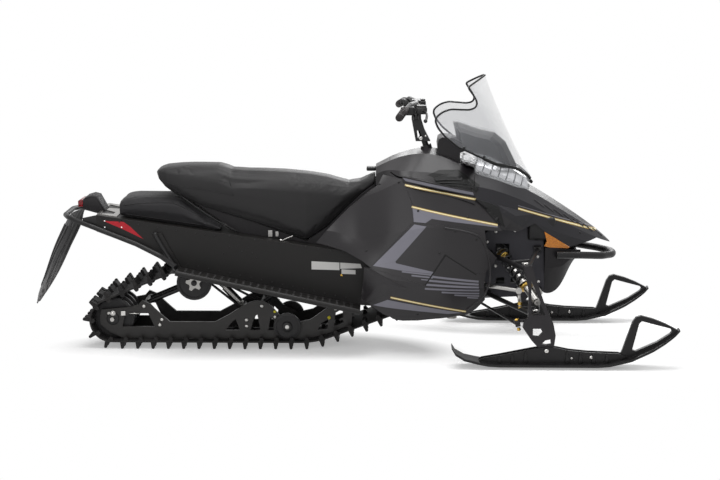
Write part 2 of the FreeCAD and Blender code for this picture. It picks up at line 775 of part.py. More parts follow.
HOOD = [
    (595, [(285, 600), (290, 716), (246, 796), (172, 866), (0, 884)]),
    (740, [(262, 580), (264, 676), (226, 758), (158, 816), (0, 838)]),
    (880, [(220, 500), (226, 620), (190, 694), (120, 748), (0, 768)]),
    (1020, [(172, 470), (182, 560), (146, 616), (84, 662), (0, 682)]),
    (1140, [(122, 470), (132, 520), (106, 554), (60, 586), (0, 600)]),
    (1256, [(14, 488), (16, 494), (12, 499), (7, 502), (0, 503)]),
]
HOOD_FOOT = [(925, 578), (1052, 497)]


def make_hood():
    wall = feature("Hood_wall", shell_of([(along, whole(line)) for along, line in HOOD], skin))
    outline = [(590, 738)] + UPPER_FRONT[::-1] + [(742, 592), (800, 582), (880, 618)] + HOOD_FOOT
    outline += [(1185, 530), (1300, 480), (1300, 900), (590, 900)]
    window = plate("Hood_window", shrunk(outline, panel_gap / 2), 0, 700)
    node(common("Hood", [wall, window]), "hood")
    outline = HOOD_FOOT + [(1044, 491), (952, 499), (926, 507), (938, 530)]
    lens = plate("Reflector_window", shrunk(outline, panel_gap / 2), -200, 200)
    both_sides("side_reflectors", common("Reflector", [wall, lens]))


# Gap between the lamp unit and the hood under it
LAMP_LIFT = 0.6

# Room that the dash pod leaves for the lamp unit's rear edge
LAMP_BACK = [(530, 840), (530, 938), (580, 958), (640, 960), (640, 840)]


def make_headlight():
    """Clear lamp unit that lies over the hood's rear middle and wraps to both sides."""
    stations = [(540, 860, 930, 166), (600, 840, 952, 190), (690, 800, 930, 186), (780, 760, 886, 166),
                (862, 720, 820, 116)]
    rings = []
    for along, low, top, half in stations:
        line = [(-half, low), (-half * 0.96, low + (top - low) * 0.45), (-half * 0.6, low + (top - low) * 0.86)]
        rings.append((along, line + [(0, top)] + [(-y, z) for y, z in line[::-1]]))
    lamp = block_of(rings)
    under = []
    for along, line in HOOD:
        raised = [(-across, up) for across, up in line]
        raised = [(across, up + LAMP_LIFT) for across, up in raised]
        ring = raised + [(-across, up) for across, up in raised[-2::-1]]
        under.append((along, ring))
    lamp = lamp.cut(block_of(under))
    lamp = lamp.cut(prism([(400, 700), (596, 700), (596, 892), (560, 900), (400, 905)], -300, 300))
    lamp = largest(lamp)
    node(feature("Headlight", lamp), "headlight")
    return lamp


def make_windshield(lamp):
    """One curved clear sheet: raked in front, drawn back to an ear on each side."""
    rings = []
    for up, front, half in ((800, 882, 150), (900, 836, 172), (1000, 790, 172), (1100, 744, 166),
                            (1200, 697, 150), (1304, 649, 120)):
        outer = [(front - 480, -half * 1.02), (front - 300, -half), (front - 120, -half * 0.78), (front, 0)]
        outer = outer + [(along, -across) for along, across in outer[-2::-1]]
        depth = float(screen_thickness)
        inner = [(along - depth, across * (1 - depth / half)) for along, across in outer[::-1]]
        wires = []
        for line in (outer, inner):
            curve = Part.BSplineCurve()
            curve.interpolate([Vector(along, across, up) for along, across in line])
            wires.append(curve.toShape())
        ends = [Part.LineSegment(wires[0].Vertexes[-1].Point, wires[1].Vertexes[0].Point).toShape(),
                Part.LineSegment(wires[1].Vertexes[-1].Point, wires[0].Vertexes[0].Point).toShape()]
        rings.append(Part.Wire([wires[0], ends[0], wires[1], ends[1]]))
    sheet_wall = Part.makeLoft(rings, True, False, False, LOFT_DEGREE)
    outline = [(566, 1250), (562, 1237), (590, 1200), (606, 1172), (598, 1152), (570, 1144), (480, 1148),
               (440, 1136), (408, 1110), (404, 1085), (416, 1054), (450, 1014), (514, 965), (560, 945),
               (640, 910), (700, 880), (790, 840), (868, 802), (940, 802), (700, 1303), (648, 1303)]
    screen = sheet_wall.common(prism(outline, -200, 200))
    below = lamp.copy()
    below.translate(Vector(0, 0, 0.4))
    node(feature("Windshield", largest(screen.cut(below))), "windshield")


CONSOLE = [
    (130.5, [(110, 770), (112, 834), (72, 866), (0, 871)]),
    (200, [(196, 800), (168, 862), (90, 900), (0, 907)]),
    (262, [(270, 800), (214, 864), (100, 922), (0, 933)]),
    (400, [(290, 770), (222, 856), (122, 932), (0, 952)]),
    (510, [(288, 745), (238, 838), (150, 896), (0, 914)]),
    (594, [(286, 716), (246, 796), (172, 866), (0, 884)]),
]


def make_console():
    """Cover between the seat, the side panels and the hood, with the steering post's bush."""
    cover = shell_of([(along, whole(line)) for along, line in CONSOLE], skin)
    for side in (1, -1):
        wall = cowl_shape(-0.5, float(skin) + 1)
        if side == -1:
            wall = wall.mirror(Vector(0, 0, 0), Vector(0, 1, 0))
        cover = largest(cover.cut(wall))
    axis = (steer_high - steer_low).normalize()
    bush = Part.makeCylinder(26, 44, steer_low + axis * 8, axis)
    cover = cover.fuse(bush)
    cover = cover.cut(Part.makeCylinder(float(post_radius + running_gap), 400, steer_low - axis * 200, axis))
    node(feature("Console", cover), "console")
    return block_of([(along, whole(line)) for along, line in CONSOLE])


def make_dash(console):
    """Instrument pod in front of the bars, seated on the console."""
    pod = prism([(432, 900), (422, 970), (428, 1002), (446, 1012), (490, 1008), (560, 982), (600, 955), (560, 860),
                 (500, 860)], -110, 110)
    console.translate(Vector(0, 0, 0.3))
    node(feature("Dash_pod", largest(pod.cut(console).cut(prism(LAMP_BACK, -300, 300)))), "dash_pod")


def make_pans():
    """Nose pan under the hood and belly pan under the engine."""
    nose = [
        (931, [(199, 498), (186, 400), (118, 270), (0, 264)]),
        (962, [(195, 497), (181, 399), (114, 266), (0, 260)]),
        (1000, [(183, 492), (171, 402), (108, 288), (0, 282)]),
        (1040, [(168, 486), (158, 424), (104, 356), (0, 350)]),
        (1105, [(140, 478), (132, 462), (95, 448), (0, 444)]),
    ]
    lines = []
    for along, line in nose:
        right = [(-across, up) for across, up in line]
        lines.append((along, right + [(-across, up) for across, up in right[-2::-1]]))
    node(feature("Nose_pan", shell_of(lines, -float(skin))), "nose_pan")
    belly = [
        (325, [(330, 190), (290, 170), (0, 168)]),
        (400, [(330, 192), (288, 171), (0, 170)]),
        (500, [(324, 206), (280, 182), (0, 182)]),
        (590, [(312, 216), (268, 204), (0, 204)]),
    ]
    lines = []
    for along, line in belly:
        right = [(-across, up) for across, up in line]
        lines.append((along, right + [(-across, up) for across, up in right[-2::-1]]))
    pan = shell_of(lines, -float(skin))
    for side in (1, -1):
        wall = cowl_shape(-0.5, float(skin) + 1)
        if side == -1:
            wall = wall.mirror(Vector(0, 0, 0), Vector(0, 1, 0))
        pan = largest(pan.cut(wall))
    pan = pan.cut(Part.makeCylinder(float(exhaust_radius + seat_gap), 200, point(EXHAUST), Vector(0, 0, 1)))
    node(feature("Belly_pan", pan), "belly_pan")


def make_front_bumper():
    corners = [(985, -202.4, 464), (1100, -176, 460), (1205, -128, 450), (1262, -60, 446), (1270, -18, 446)]
    corners += [(x, -y, z) for x, y, z in corners[::-1]]
    node(tube("Front_bumper", corners, nose_tube_radius, 70), "front_bumper")


def make_subframe():
    """Front frame: two cut-out side plates that reach back to the tunnel, and cross members."""
    back = tunnel_front + seat_gap
    side = [(back, 232), (back, 262), (632, 262), (647, 300), (647, 560), (690, 590), (890, 590), (926, 530),
            (930.7, 420), (930.7, 290), (905, 264), (640, 250), (612, 232)]
    windows = [
        [(770, 318), (776, 352), (842, 352), (848, 318)],
        [(700, 320), (706, 350), (742, 350), (744, 320)],
        [(700, 434), (700, 512), (764, 512), (764, 434)],
    ]
    plate_side = plate("Subframe_side", side, -(frame_half - frame_plate / 2), frame_plate, holes=windows)
    cheeks = [plate_side, mirrored("Subframe_side_twin", plate_side)]
    beams = [plate("Subframe_wall", [(back, 207), (back, 428), (back + 6, 428), (back + 6, 207)], 0,
                   tunnel_width - 2 * tunnel_wall)]
    for name, outline in (("rear_high", [(652, 440), (652, 480), (664, 480), (664, 440)]),
                          ("front_low", [(880, 272), (868, 300), (925, 300), (926, 290)]),
                          ("front_high", [(880, 500), (880, 540), (894, 536), (894, 500)])):
        beams.append(plate("Subframe_" + name, outline, 0, 2 * frame_half - frame_plate))
    axis = kingpin_line()[2]
    hub = point(PITMAN_HUB)
    beams.append(plate("Subframe_steer", [(672, 270), (672, 296), (706, 296), (706, 270)], 0,
                       2 * frame_half - frame_plate))
    frame = fuse("Subframe", cheeks + beams)
    bore = feature("Steer_bore", round_bar(hub + axis * 40, axis, 8 + running_gap, 80))
    node(cut("Subframe_bored", frame, bore), "front_subframe")


def make_engine():
    block = doc.addObject("Part::Box", "Engine")
    block.Length, block.Width, block.Height = 226, 330, 380
    block.Placement = Placement(Vector(330, -165, 262.3), Rotation())
    node(block, "engine")
    low = point(EXHAUST)
    pipe = rod("Exhaust", low, low + Vector(0, 0, 62), exhaust_radius)
    bore = rod("Exhaust_bore", low - Vector(0, 0, 8), low + Vector(0, 0, 54), exhaust_radius - 3)
    node(cut("Exhaust_outlet", pipe, bore), "exhaust_outlet")


def kingpin_line():
    low, high = point(kingpin_low), point(kingpin_high)
    return low, high, (high - low).normalize()


def round_bar(middle, axis, radius, height):
    """A round bar about a point, along an axis."""
    start = middle - axis * (float(height) / 2)
    return Part.makeCylinder(float(radius), float(height), start, axis)


def straight(start, end, radius):
    run = point(end) - point(start)
    return Part.makeCylinder(float(radius), run.Length, point(start), run)


def make_arm(label, eye, mounts, lug=None):
    """A-shaped arm: an eye on the steering pivot, two tubes and their inner bushes."""
    axis = kingpin_line()[2]
    middle = point(eye)
    parts = [round_bar(middle, axis, eye_radius, eye_height)]
    for mount in mounts:
        spot = point(mount)
        run = (spot - middle).normalize()
        parts.append(straight(middle + run * 14, spot, tube_radius))
        parts.append(Part.makeCylinder(float(bush_radius), 34, spot - Vector(17, 0, 0), Vector(1, 0, 0)))
    cross = [middle + (point(mount) - middle) * 0.45 for mount in mounts]
    parts.append(straight(cross[0], cross[1], 7))
    if lug is not None:
        parts.append(lug)
    arm = parts[0].multiFuse(parts[1:])
    arm = arm.cut(round_bar(middle, axis, pin_radius + running_gap, eye_height * 3))
    step = float(eye_height) / 2 + float(side_gap) + float(lug_thickness) / 2
    for side in (-1, 1):
        arm = arm.cut(round_bar(middle + axis * (side * step), axis, 24, lug_thickness + 2 * side_gap))
    for mount in mounts:
        spot = point(mount)
        arm = arm.cut(Part.makeCylinder(6, 60, spot - Vector(30, 0, 0), Vector(1, 0, 0)))
    right_and_left(label, feature(label.capitalize(), arm))


def make_arms():
    inner = -float(frame_half + bush_radius + seat_gap)
    make_arm("upper_arm", kingpin_high, [(668, inner, 468), (896, inner, 490)])
    low_eye = point(shock_low())
    foot = straight((low_eye.x, low_eye.y - 22, low_eye.z - 22), (low_eye.x, low_eye.y + 22, low_eye.z - 22), 9)
    make_arm("lower_arm", kingpin_low, [(660, inner, 276), (905, inner, 288)], foot)


def shock_low():
    return (880, -418, 278)


def shock_high():
    return (718, -float(frame_half + seat_gap) - 11, 483)


def make_shocks():
    """Coil-over damper: rod and body in line, collars, eyes at both ends, and the spring."""
    low, high = point(shock_low()), point(shock_high())
    axis = (high - low).normalize()
    length = (high - low).Length
    parts = [
        Part.makeCylinder(13, 22, low - Vector(0, 11, 0), Vector(0, 1, 0)),
        Part.makeCylinder(13, 22, high - Vector(0, 11, 0), Vector(0, 1, 0)),
        Part.makeCylinder(float(damper_radius), length * 0.62, low + axis * 8, axis),
        Part.makeCylinder(9, length - 16, low + axis * 8, axis),
        Part.makeCylinder(float(spring_radius) + 2, 7, low + axis * (length * 0.34 - 7), axis),
        Part.makeCylinder(float(spring_radius) + 2, 7, low + axis * (length - 24), axis),
    ]
    damper = parts[0].multiFuse(parts[1:])
    for spot in (low, high):
        damper = damper.cut(Part.makeCylinder(5, 40, spot - Vector(0, 20, 0), Vector(0, 1, 0)))
    right_and_left("ski_shock", feature("Ski_shock", damper))
    start = low + axis * (length * 0.34 + float(spring_wire))
    span = length * 0.66 - 24 - 2 * float(spring_wire)
    middle = float(spring_radius - spring_wire)
    helix = Part.makeHelix(span / float(spring_turns), span, middle)
    ring = Part.Wire([Part.makeCircle(float(spring_wire), Vector(middle, 0, 0), Vector(0, 1, 0))])
    coil = Part.Wire(helix).makePipeShell([ring], True, True)
    coil.Placement = Placement(start, Rotation(Vector(0, 0, 1), axis))
    both_sides("ski_springs", feature("Ski_spring", coil))


def make_sway_bar():
    """Anti-roll bar across the frame, with an arm and a link down to each lower arm."""
    corners = [(796, -400, 330), (655, -300, 335), (630.8, -205, 335), (630.8, 205, 335), (655, 300, 335),
               (796, 400, 330)]
    bar = tube_shape(corners, 9, 40)
    links = []
    for side in (-1, 1):
        links.append(Part.makeCylinder(15, 26, Vector(796, side * 400 - 13, 330), Vector(0, 1, 0)))
        links.append(straight((796, side * 400, 330), (803, side * 400, 255.5), 7))
    node(feature("Sway_bar", bar.multiFuse(links)), "sway_bar")


def make_spindle():
    """Upright with a clevis at each arm, a trailing steering arm and an eye for the ski bolt."""
    low, high, axis = kingpin_line()
    middle = -float(ski_middle)
    outline = [
        (806, 470), (846, 470), (858, 430), (900, 308), (946, 205), (957, 150), (950, 96),
        (937, 66), (915, 57), (893, 66), (878, 92), (846, 128), (806, 186), (812, 214),
        (830, 232), (832, 350), (818, 425),
    ]
    holes = [
        [(843, 402), (845, 244), (908, 244), (880, 316)],
        [(853, 181), (853, 146), (880, 143), (898, 163), (888, 181)],
        [(893, 110), (910, 127), (934, 132), (936, 108), (915, 105)],
    ]
    upright = prism(outline, middle - float(knuckle_thickness) / 2, middle + float(knuckle_thickness) / 2)
    for hole in holes:
        upright = upright.cut(prism(hole, middle - 40, middle + 40))
    parts = []
    step = float(eye_height) / 2 + float(side_gap) + float(lug_thickness) / 2
    for spot in (low, high):
        for side in (-1, 1):
            centre = spot + axis * (side * step)
            parts.append(round_bar(centre, axis, 15, lug_thickness))
            across = Part.makeBox(30, middle * -1 - 500 + 4, float(lug_thickness))
            across.Placement = Placement(centre, Rotation(Vector(0, 0, 1), axis)).multiply(
                Placement(Vector(-15, middle + 500 - 4, -float(lug_thickness) / 2), Rotation()))
            parts.append(across)
        parts.append(round_bar(spot, axis, pin_radius, 2 * step + float(lug_thickness) + 8))
    ball = point(tie_ball())
    eye = ball + axis * 16
    parts.append(straight((838, middle + 6, eye.z + 4), (eye.x + 12, eye.y, eye.z + 3), 6))
    parts.append(round_bar(eye, axis, 14, 12))
    knuckle = upright.multiFuse(parts)
    pivot = Vector(ski_pivot[0], middle - 60, ski_pivot[1])
    knuckle = knuckle.cut(Part.makeCylinder(float(ski_bolt_radius + running_gap), 120, pivot, Vector(0, 1, 0)))
    knuckle = knuckle.cut(round_bar(eye, axis, tie_pin_radius + running_gap, 40))
    right_and_left("spindle", feature("Spindle", knuckle))


def tie_ball():
    """Centre of the tie rod's outer eye."""
    return (785, -float(kingpin_offset) - 40, 196)


def tie_inner():
    return (PITMAN_HUB[0] - 91, -40, 226)


def make_tie_rods():
    axis = kingpin_line()[2]
    out, inner = point(tie_ball()), point(tie_inner())
    parts = [straight(out, inner, rod_radius)]
    for spot in (out, inner):
        parts.append(round_bar(spot, axis, 12, 14))
    parts.append(Part.makeCylinder(float(tie_pin_radius), 28, out, axis))
    right_and_left("tie_rod", feature("Tie_rod", parts[0].multiFuse(parts[1:])))


def make_pitman():
    """Steering lever under the front frame that carries both tie rods."""
    axis = kingpin_line()[2]
    inner = point(tie_inner())
    hub = point(PITMAN_HUB)
    parts = [round_bar(hub, axis, 17, 14)]
    for side in (-1, 1):
        end = Vector(inner.x, side * inner.y, inner.z) + axis * 17
        parts.append(straight(hub, end, 5))
        parts.append(round_bar(end, axis, 11, 8))
    parts.append(round_bar(hub + axis * 28, axis, 8, 60))
    node(feature("Pitman_arm", parts[0].multiFuse(parts[1:])), "pitman_arm")


def ski_top():
    return [(620, 44), (700, 58), (800, 78), (860, 90), (920, 97), (960, 94), (1020, 82), (1100, 74), (1245, 68),
            (1282, 56)]


def make_ski():
    """Ski: keeled base, two ribs that hold the spindle, a runner bar and a loop handle."""
    base = [(482, 92), (500, 62), (540, 38), (600, 24), (650, 15), (700, 12), (1150, 12), (1200, 16),
            (1300, 38), (1400, 84), (1450, 114), (1500, 150), (1522, 172)]
    top = [(along, up + 11) for along, up in base[::-1]]
    top[0] = (1520, 182)
    top[-1] = (484, 99)
    middle = -ski_middle
    band = plate("Ski_base", base + top, middle, ski_width)
    plan = [(470, -45), (500, -56), (620, -68), (1200, -70), (1380, -58), (1480, -40), (1530, -20)]
    plan = plan + [(along, -across) for along, across in plan[::-1]]
    plan = [(along, across - float(ski_middle)) for along, across in plan]
    footprint = plate("Ski_footprint", plan, 100, 300, role="XY_Plane")
    deck = common("Ski_deck", [band, footprint])
    ribs = ski_top() + [(1240, 30), (1190, 18), (640, 18), (600, 30)]
    room = knuckle_thickness + 2 * side_gap
    rib = plate("Ski_ribs", ribs, middle, room + 2 * rib_thickness)
    slot = plate("Ski_slot", [(600, 23), (600, 130), (1300, 130), (1300, 80), (1210, 26)], middle, room)
    ribs = cut("Ski_rib_pair", rib, slot)
    runner = plate("Ski_runner", [(690, 0), (1150, 0), (1175, 8), (1160, 16), (680, 16), (672, 8)], middle, 14)
    handle = [(1240, 30), (1262, 82), (1306, 212), (1322, 236), (1344, 243), (1400, 228), (1455, 206),
              (1502, 182), (1519, 172), (1500, 152), (1400, 90), (1300, 42)]
    hole = [(1306, 84), (1322, 78), (1420, 122), (1478, 160), (1486, 171), (1478, 184), (1400, 204),
            (1348, 218), (1336, 206)]
    loop = plate("Ski_handle", handle, middle, handle_thickness, holes=[hole])
    bolt = rod("Ski_bolt", (ski_pivot[0], float(middle) - 30, ski_pivot[1]),
               (ski_pivot[0], float(middle) + 30, ski_pivot[1]), ski_bolt_radius)
    right_and_left("ski", fuse("Ski", [deck, ribs, runner, loop, bolt]))


def bar_points():
    return [(322, 0, 1168), (322, -55, 1170), (292, -190, 1172), (240, -float(bar_reach), 1128)]


def make_handlebar():
    """Swept bar on an upright riser, with the top of the steering post."""
    side = bar_points()
    corners = [(x, -y, z) for x, y, z in side[:0:-1]] + side[1:]
    bar = tube_shape(corners, bar_radius, 60)
    axis = (steer_high - steer_low).normalize()
    post = Part.makeCylinder(float(post_radius), 145, steer_low - axis * 10, axis)
    riser = prism([(390, 985), (362, 1040), (346, 1090), (342, 1180), (302, 1182), (300, 1090), (320, 985)], -32, 32)
    riser = riser.cut(prism([(330, 1000), (352, 1000), (338, 1036), (326, 1036)], -60, 60))
    riser = riser.cut(prism([(250, 1050), (420, 1050), (420, 1140), (250, 1140)], -18, 18))
    node(feature("Handlebar", bar.multiFuse([post, riser])), "handlebar")
    ends = bar_points()
    run = (point(ends[3]) - point(ends[2])).normalize()
    outer = point(ends[3])
    grip = Part.makeCylinder(float(grip_radius), 125, outer - run * 121, run)
    bore = Part.makeCylinder(float(bar_radius), 125, outer - run * 125, run)
    both_sides("grips", feature("Grip", grip.cut(bore)))
    block = Part.makeCylinder(20, 44, outer - run * 168, run)
    lever = tube_shape([outer - run * 150 + Vector(20, 0, 6), outer - run * 130 + Vector(52, 0, 4),
                        outer - run * 20 + Vector(56, 0, -4)], 5, 20)
    tank = Part.makeBox(54, 62, 44, outer - run * 150 + Vector(10, -12, 2))
    cluster = block.multiFuse([lever, tank])
    cluster = cluster.cut(Part.makeCylinder(float(bar_radius), 260, outer - run * 240, run))
    both_sides("controls", feature("Control", cluster))


def make_drive_axle():
    place = (float(drive_place), 0, float(drive_height))
    reach = float(tunnel_side) - float(tunnel_wall) - 0.3
    shaft = Part.makeCylinder(16, 2 * reach, Vector(place[0], -reach, place[2]), Vector(0, 1, 0))
    sprockets = []
    for across in (-120, -40, 40, 120):
        sprockets.append(Part.makeCylinder(float(drive_radius) - float(wheel_gap), 26,
                                           Vector(place[0], across - 13, place[2]), Vector(0, 1, 0)))
    node(feature("Drive_axle", shaft.multiFuse(sprockets)), "drive_axle")


def under_belt(along, radius):
    """A place just under the belt's upper run, where an arm of that radius clears it."""
    first, last = track_stops(0)[3][1:]
    height = first[1] + (last[1] - first[1]) * (along - first[0]) / (last[0] - first[0])
    return Vector(along, 0, height - radius - BELT_SLACK)


def make_skid_arms():
    """Arms inside the track loop that carry the rails from the tunnel, and the shock between them."""
    wide = float(tunnel_side - tunnel_wall) - 0.3
    inside = float(rail_offset - rail_thickness / 2) - 0.3
    across = Vector(0, 1, 0)
    radius = float(arm_radius)
    front_low, front_high = Vector(FRONT_PIVOT[0], 0, FRONT_PIVOT[1]), under_belt(-235, radius)
    rear_low, rear_high = Vector(REAR_PIVOT[0], 0, REAR_PIVOT[1]), under_belt(-575, radius)
    foot = Vector(SHOCK_FOOT[0], 0, SHOCK_FOOT[1])
    parts = []
    for low, high in ((front_low, front_high), (rear_low, rear_high)):
        lower = Part.makeCylinder(radius, 2 * inside, low - across * inside, across)
        upper = Part.makeCylinder(radius, 2 * wide, high - across * wide, across)
        sides = [straight(low + across * side * 60, high + across * side * 60, 11) for side in (-1, 1)]
        parts.append(lower.multiFuse([upper] + sides))
    wheel = Vector(float(carrier_place), 0, float(carrier_height))
    reach = float(rail_offset + rail_thickness / 2 + wheel_width + 8)
    carrier = Part.makeCylinder(float(axle_radius - running_gap), 2 * reach, wheel - across * reach, across)
    joint = rear_low + (rear_high - rear_low) * 0.78
    links = [Part.makeCylinder(radius, 120, joint - across * 60, across),
             Part.makeCylinder(radius, 2 * inside, foot - across * inside, across)]
    for side in (-60, 60):
        links.append(straight(joint + across * side, front_low + across * side, 6))
        links.append(straight(rear_low + (joint - rear_low) * 0.9 + across * side, foot + across * side, 6))
    arms = parts[0].multiFuse([parts[1], carrier] + links)
    node(feature("Skid_arms", arms), "skid_arms")
    run = (joint - foot).normalize()
    offset = radius + 14 + float(seat_gap)
    low, high = foot + run * offset, joint - run * offset
    length = (high - low).Length
    damper = Part.makeCylinder(19, length * 0.6, low + run * 10, run).multiFuse([
        Part.makeCylinder(9, length - 20, low + run * 10, run),
        Part.makeCylinder(14, 24, low - across * 12, across),
        Part.makeCylinder(14, 24, high - across * 12, across),
    ])
    node(feature("Rear_shock", damper), "rear_shock")


def build():
    make_track()
    make_wheels()
    make_axles()
    make_rails()
    make_tunnel()
    make_running_boards()
    make_rear_bumper()
    make_flap()
    make_tail()
    make_seat()
    make_seat_base()
    make_bag()
    make_side_panels()
    make_hood()
    lamp = make_headlight()
    make_windshield(lamp)
    console = make_console()
    make_dash(console)
    make_pans()
    make_front_bumper()
    make_subframe()
    make_engine()
    make_arms()
    make_shocks()
    make_sway_bar()
    make_spindle()
    make_tie_rods()
    make_pitman()
    make_ski()
    make_handlebar()
    make_drive_axle()
    make_skid_arms()
    doc.recompute()


def check_and_write():
    """Stops on any failed object or shape, then writes each sub-part."""
    for item in doc.Objects:
        if "Invalid" in item.State or "Error" in item.State:
            raise ValueError(f"{item.Label} failed: {item.State}")
    for item in nodes:
        if item.Shape.isNull() or not item.Shape.isValid() or not item.Shape.Solids:
            raise ValueError(f"{item.Label} has no valid shape")
    os.makedirs("parts", exist_ok=True)
    for item in nodes:
        item.Shape.exportStep(f"parts/{item.Label}.step")
        box = item.Shape.BoundBox
        print(f"{item.Label}: {len(item.Shape.Solids)} solids, X {box.XMin:.0f}..{box.XMax:.0f}, "
              f"Y {box.YMin:.0f}..{box.YMax:.0f}, Z {box.ZMin:.0f}..{box.ZMax:.0f}")


build()
check_and_write()
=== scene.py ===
import json
import math

import bmesh
import bpy
from bpy.props import FloatProperty, FloatVectorProperty, IntProperty, PointerProperty
from mathutils import Matrix, Vector
from mathutils.bvhtree import BVHTree


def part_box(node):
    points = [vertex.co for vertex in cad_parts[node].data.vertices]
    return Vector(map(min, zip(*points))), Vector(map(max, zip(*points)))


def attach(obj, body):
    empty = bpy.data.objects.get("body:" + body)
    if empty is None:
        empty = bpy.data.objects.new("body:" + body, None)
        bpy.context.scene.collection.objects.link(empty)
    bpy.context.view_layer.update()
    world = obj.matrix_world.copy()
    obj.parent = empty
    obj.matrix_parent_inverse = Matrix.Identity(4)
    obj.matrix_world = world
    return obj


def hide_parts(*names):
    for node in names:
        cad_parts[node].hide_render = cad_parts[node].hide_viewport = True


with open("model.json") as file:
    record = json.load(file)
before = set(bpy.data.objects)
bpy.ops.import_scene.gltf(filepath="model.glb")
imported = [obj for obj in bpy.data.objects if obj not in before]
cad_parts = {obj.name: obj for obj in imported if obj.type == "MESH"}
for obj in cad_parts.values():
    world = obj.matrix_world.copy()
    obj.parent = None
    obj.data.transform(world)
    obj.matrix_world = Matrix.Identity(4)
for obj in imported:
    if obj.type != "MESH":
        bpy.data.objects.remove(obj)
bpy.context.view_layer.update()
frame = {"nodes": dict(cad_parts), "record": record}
SCREEN_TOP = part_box("windshield")[1].z

bl_info = {
    "name": "Trail snowmobile",
    "version": (1, 0, 0),
    "blender": (4, 5, 0),
    "location": "View3D > Sidebar > Snowmobile",
    "description": "Dresses the snowmobile's frame with its finishes, cushion, track and trim",
    "category": "Object",
}

SIDES = (-1, 1)
NAMED_SIDES = ((-1, "right"), (1, "left"))
RIGHT = (0, -1, 0)
ACROSS = Vector((0, 1, 0))


# Colours

def tone(code):
    """A colour written as six hexadecimal digits, as the linear colour that sockets take."""
    parts = [int(code[i:i + 2], 16) / 255 for i in (0, 2, 4)]
    linear = [p / 12.92 if p <= 0.04045 else ((p + 0.055) / 1.055) ** 2.4 for p in parts]
    return (*linear, 1.0)


def shaded(colour, share):
    """The same colour, darker or lighter."""
    return (*(min(part * share, 1.0) for part in colour[:3]), 1.0)


BLACK = tone("131213")
CHARCOAL = tone("1e1c1e")
SILVER_GREY = tone("72717a")
GOLD_CORE = tone("efe6bd")
RED = tone("b1222d")


class SnowmobileSizes(bpy.types.PropertyGroup):
    """Sizes and colours of the snowmobile's dressing."""

    panel_colour: FloatVectorProperty(
        name="Panels", description="Colour of the body panels", subtype="COLOR", size=4, min=0, max=1,
        default=tone("272527"))
    stripe_colour: FloatVectorProperty(
        name="Stripes", description="Colour of the thin stripes", subtype="COLOR", size=4, min=0, max=1,
        default=tone("b0924c"))
    lug_rows: IntProperty(
        name="Lug rows", description="Rows of lugs round the track", default=45, min=20, max=80)
    lug_height: FloatProperty(
        name="Lug height", description="Height of a lug over the belt", unit="LENGTH", min=0.01, max=0.06,
        default=0.032)
    screen_trim: FloatProperty(
        name="Screen trim", description="Radius of the rubber round the windshield", unit="LENGTH", min=0.001,
        max=0.01, default=0.0046)
    stitch_pitch: FloatProperty(
        name="Stitch pitch", description="Distance between two stitches of a seam", unit="LENGTH", min=0.003,
        max=0.03, default=0.007)
    seat_swell: FloatProperty(
        name="Seat swell", description="Most that the seat's cover is pushed out by its foam", unit="LENGTH",
        min=0, max=0.02, default=0.006)
    lamp_power: FloatProperty(
        name="Light", description="Strength of the studio lights", default=1.0, min=0, max=4)


# Meshes

def mesh_of(shape, name, smooth=True):
    """The mesh of a bmesh, which is freed."""
    mesh = bpy.data.meshes.new(name)
    shape.to_mesh(mesh)
    shape.free()
    if smooth:
        mesh.shade_smooth()
    else:
        mesh.shade_flat()
    return mesh


def skin_of(rings, caps=True):
    """A bmesh through rings of points that all have the same count."""
    shape = bmesh.new()
    rows = [[shape.verts.new(spot) for spot in ring] for ring in rings]
    count = len(rings[0])
    for first, last in zip(rows, rows[1:]):
        for i in range(count):
            j = (i + 1) % count
            shape.faces.new((first[i], first[j], last[j], last[i]))
    if caps:
        shape.faces.new(rows[0][::-1])
        shape.faces.new(rows[-1])
    bmesh.ops.recalc_face_normals(shape, faces=shape.faces)
    return shape


def ring_about(middle, axis, radii, first=0.0):
    """Points evenly round an axis, one at each radius."""
    axis = Vector(axis).normalized()
    over = axis.orthogonal().normalized()
    up = axis.cross(over)
    spots = []
    for i, radius in enumerate(radii):
        angle = 2 * math.pi * (i + first) / len(radii)
        spots.append(middle + (over * math.cos(angle) + up * math.sin(angle)) * radius)
    return spots


def lathe(start, axis, profile, sides=24):
    """A bmesh turned about an axis: profile gives distances along it and radii."""
    run = Vector(axis).normalized()
    return skin_of([ring_about(Vector(start) + run * far, axis, [radius] * sides) for far, radius in profile])


def eased(shape, edge):
    """Rounds every edge of a bmesh."""
    bmesh.ops.bevel(shape, geom=list(shape.edges), offset=edge, segments=2, profile=0.6, affect="EDGES")


def slab(outline, low, high, edge=0.0):
    """A bmesh of an outline seen from the side, between two places across, its edges rounded."""
    shape = skin_of([[(x, y, z) for x, z in outline] for y in (low, high)])
    if edge:
        eased(shape, edge)
    return shape


def block(middle, size, edge):
    """A bmesh box with rounded edges, about a middle."""
    shape = bmesh.new()
    bmesh.ops.create_cube(shape, size=1.0)
    bmesh.ops.scale(shape, vec=Vector(size), verts=shape.verts)
    eased(shape, edge)
    bmesh.ops.translate(shape, vec=Vector(middle), verts=shape.verts)
    return shape


def star(middle, axis, radius, root, arms, thick):
    """A bmesh of a flat star wheel plate."""
    run = Vector(axis).normalized()
    radii = [radius, radius, root, root] * arms
    return skin_of([ring_about(Vector(middle) + run * depth, axis, radii, 0.5) for depth in (0, thick)])


def joined(shapes, name, smooth=True):
    """One mesh out of several bmeshes, which are freed."""
    whole = bmesh.new()
    for shape in shapes:
        mesh = mesh_of(shape, "part")
        whole.from_mesh(mesh)
        bpy.data.meshes.remove(mesh)
    return mesh_of(whole, name, smooth)


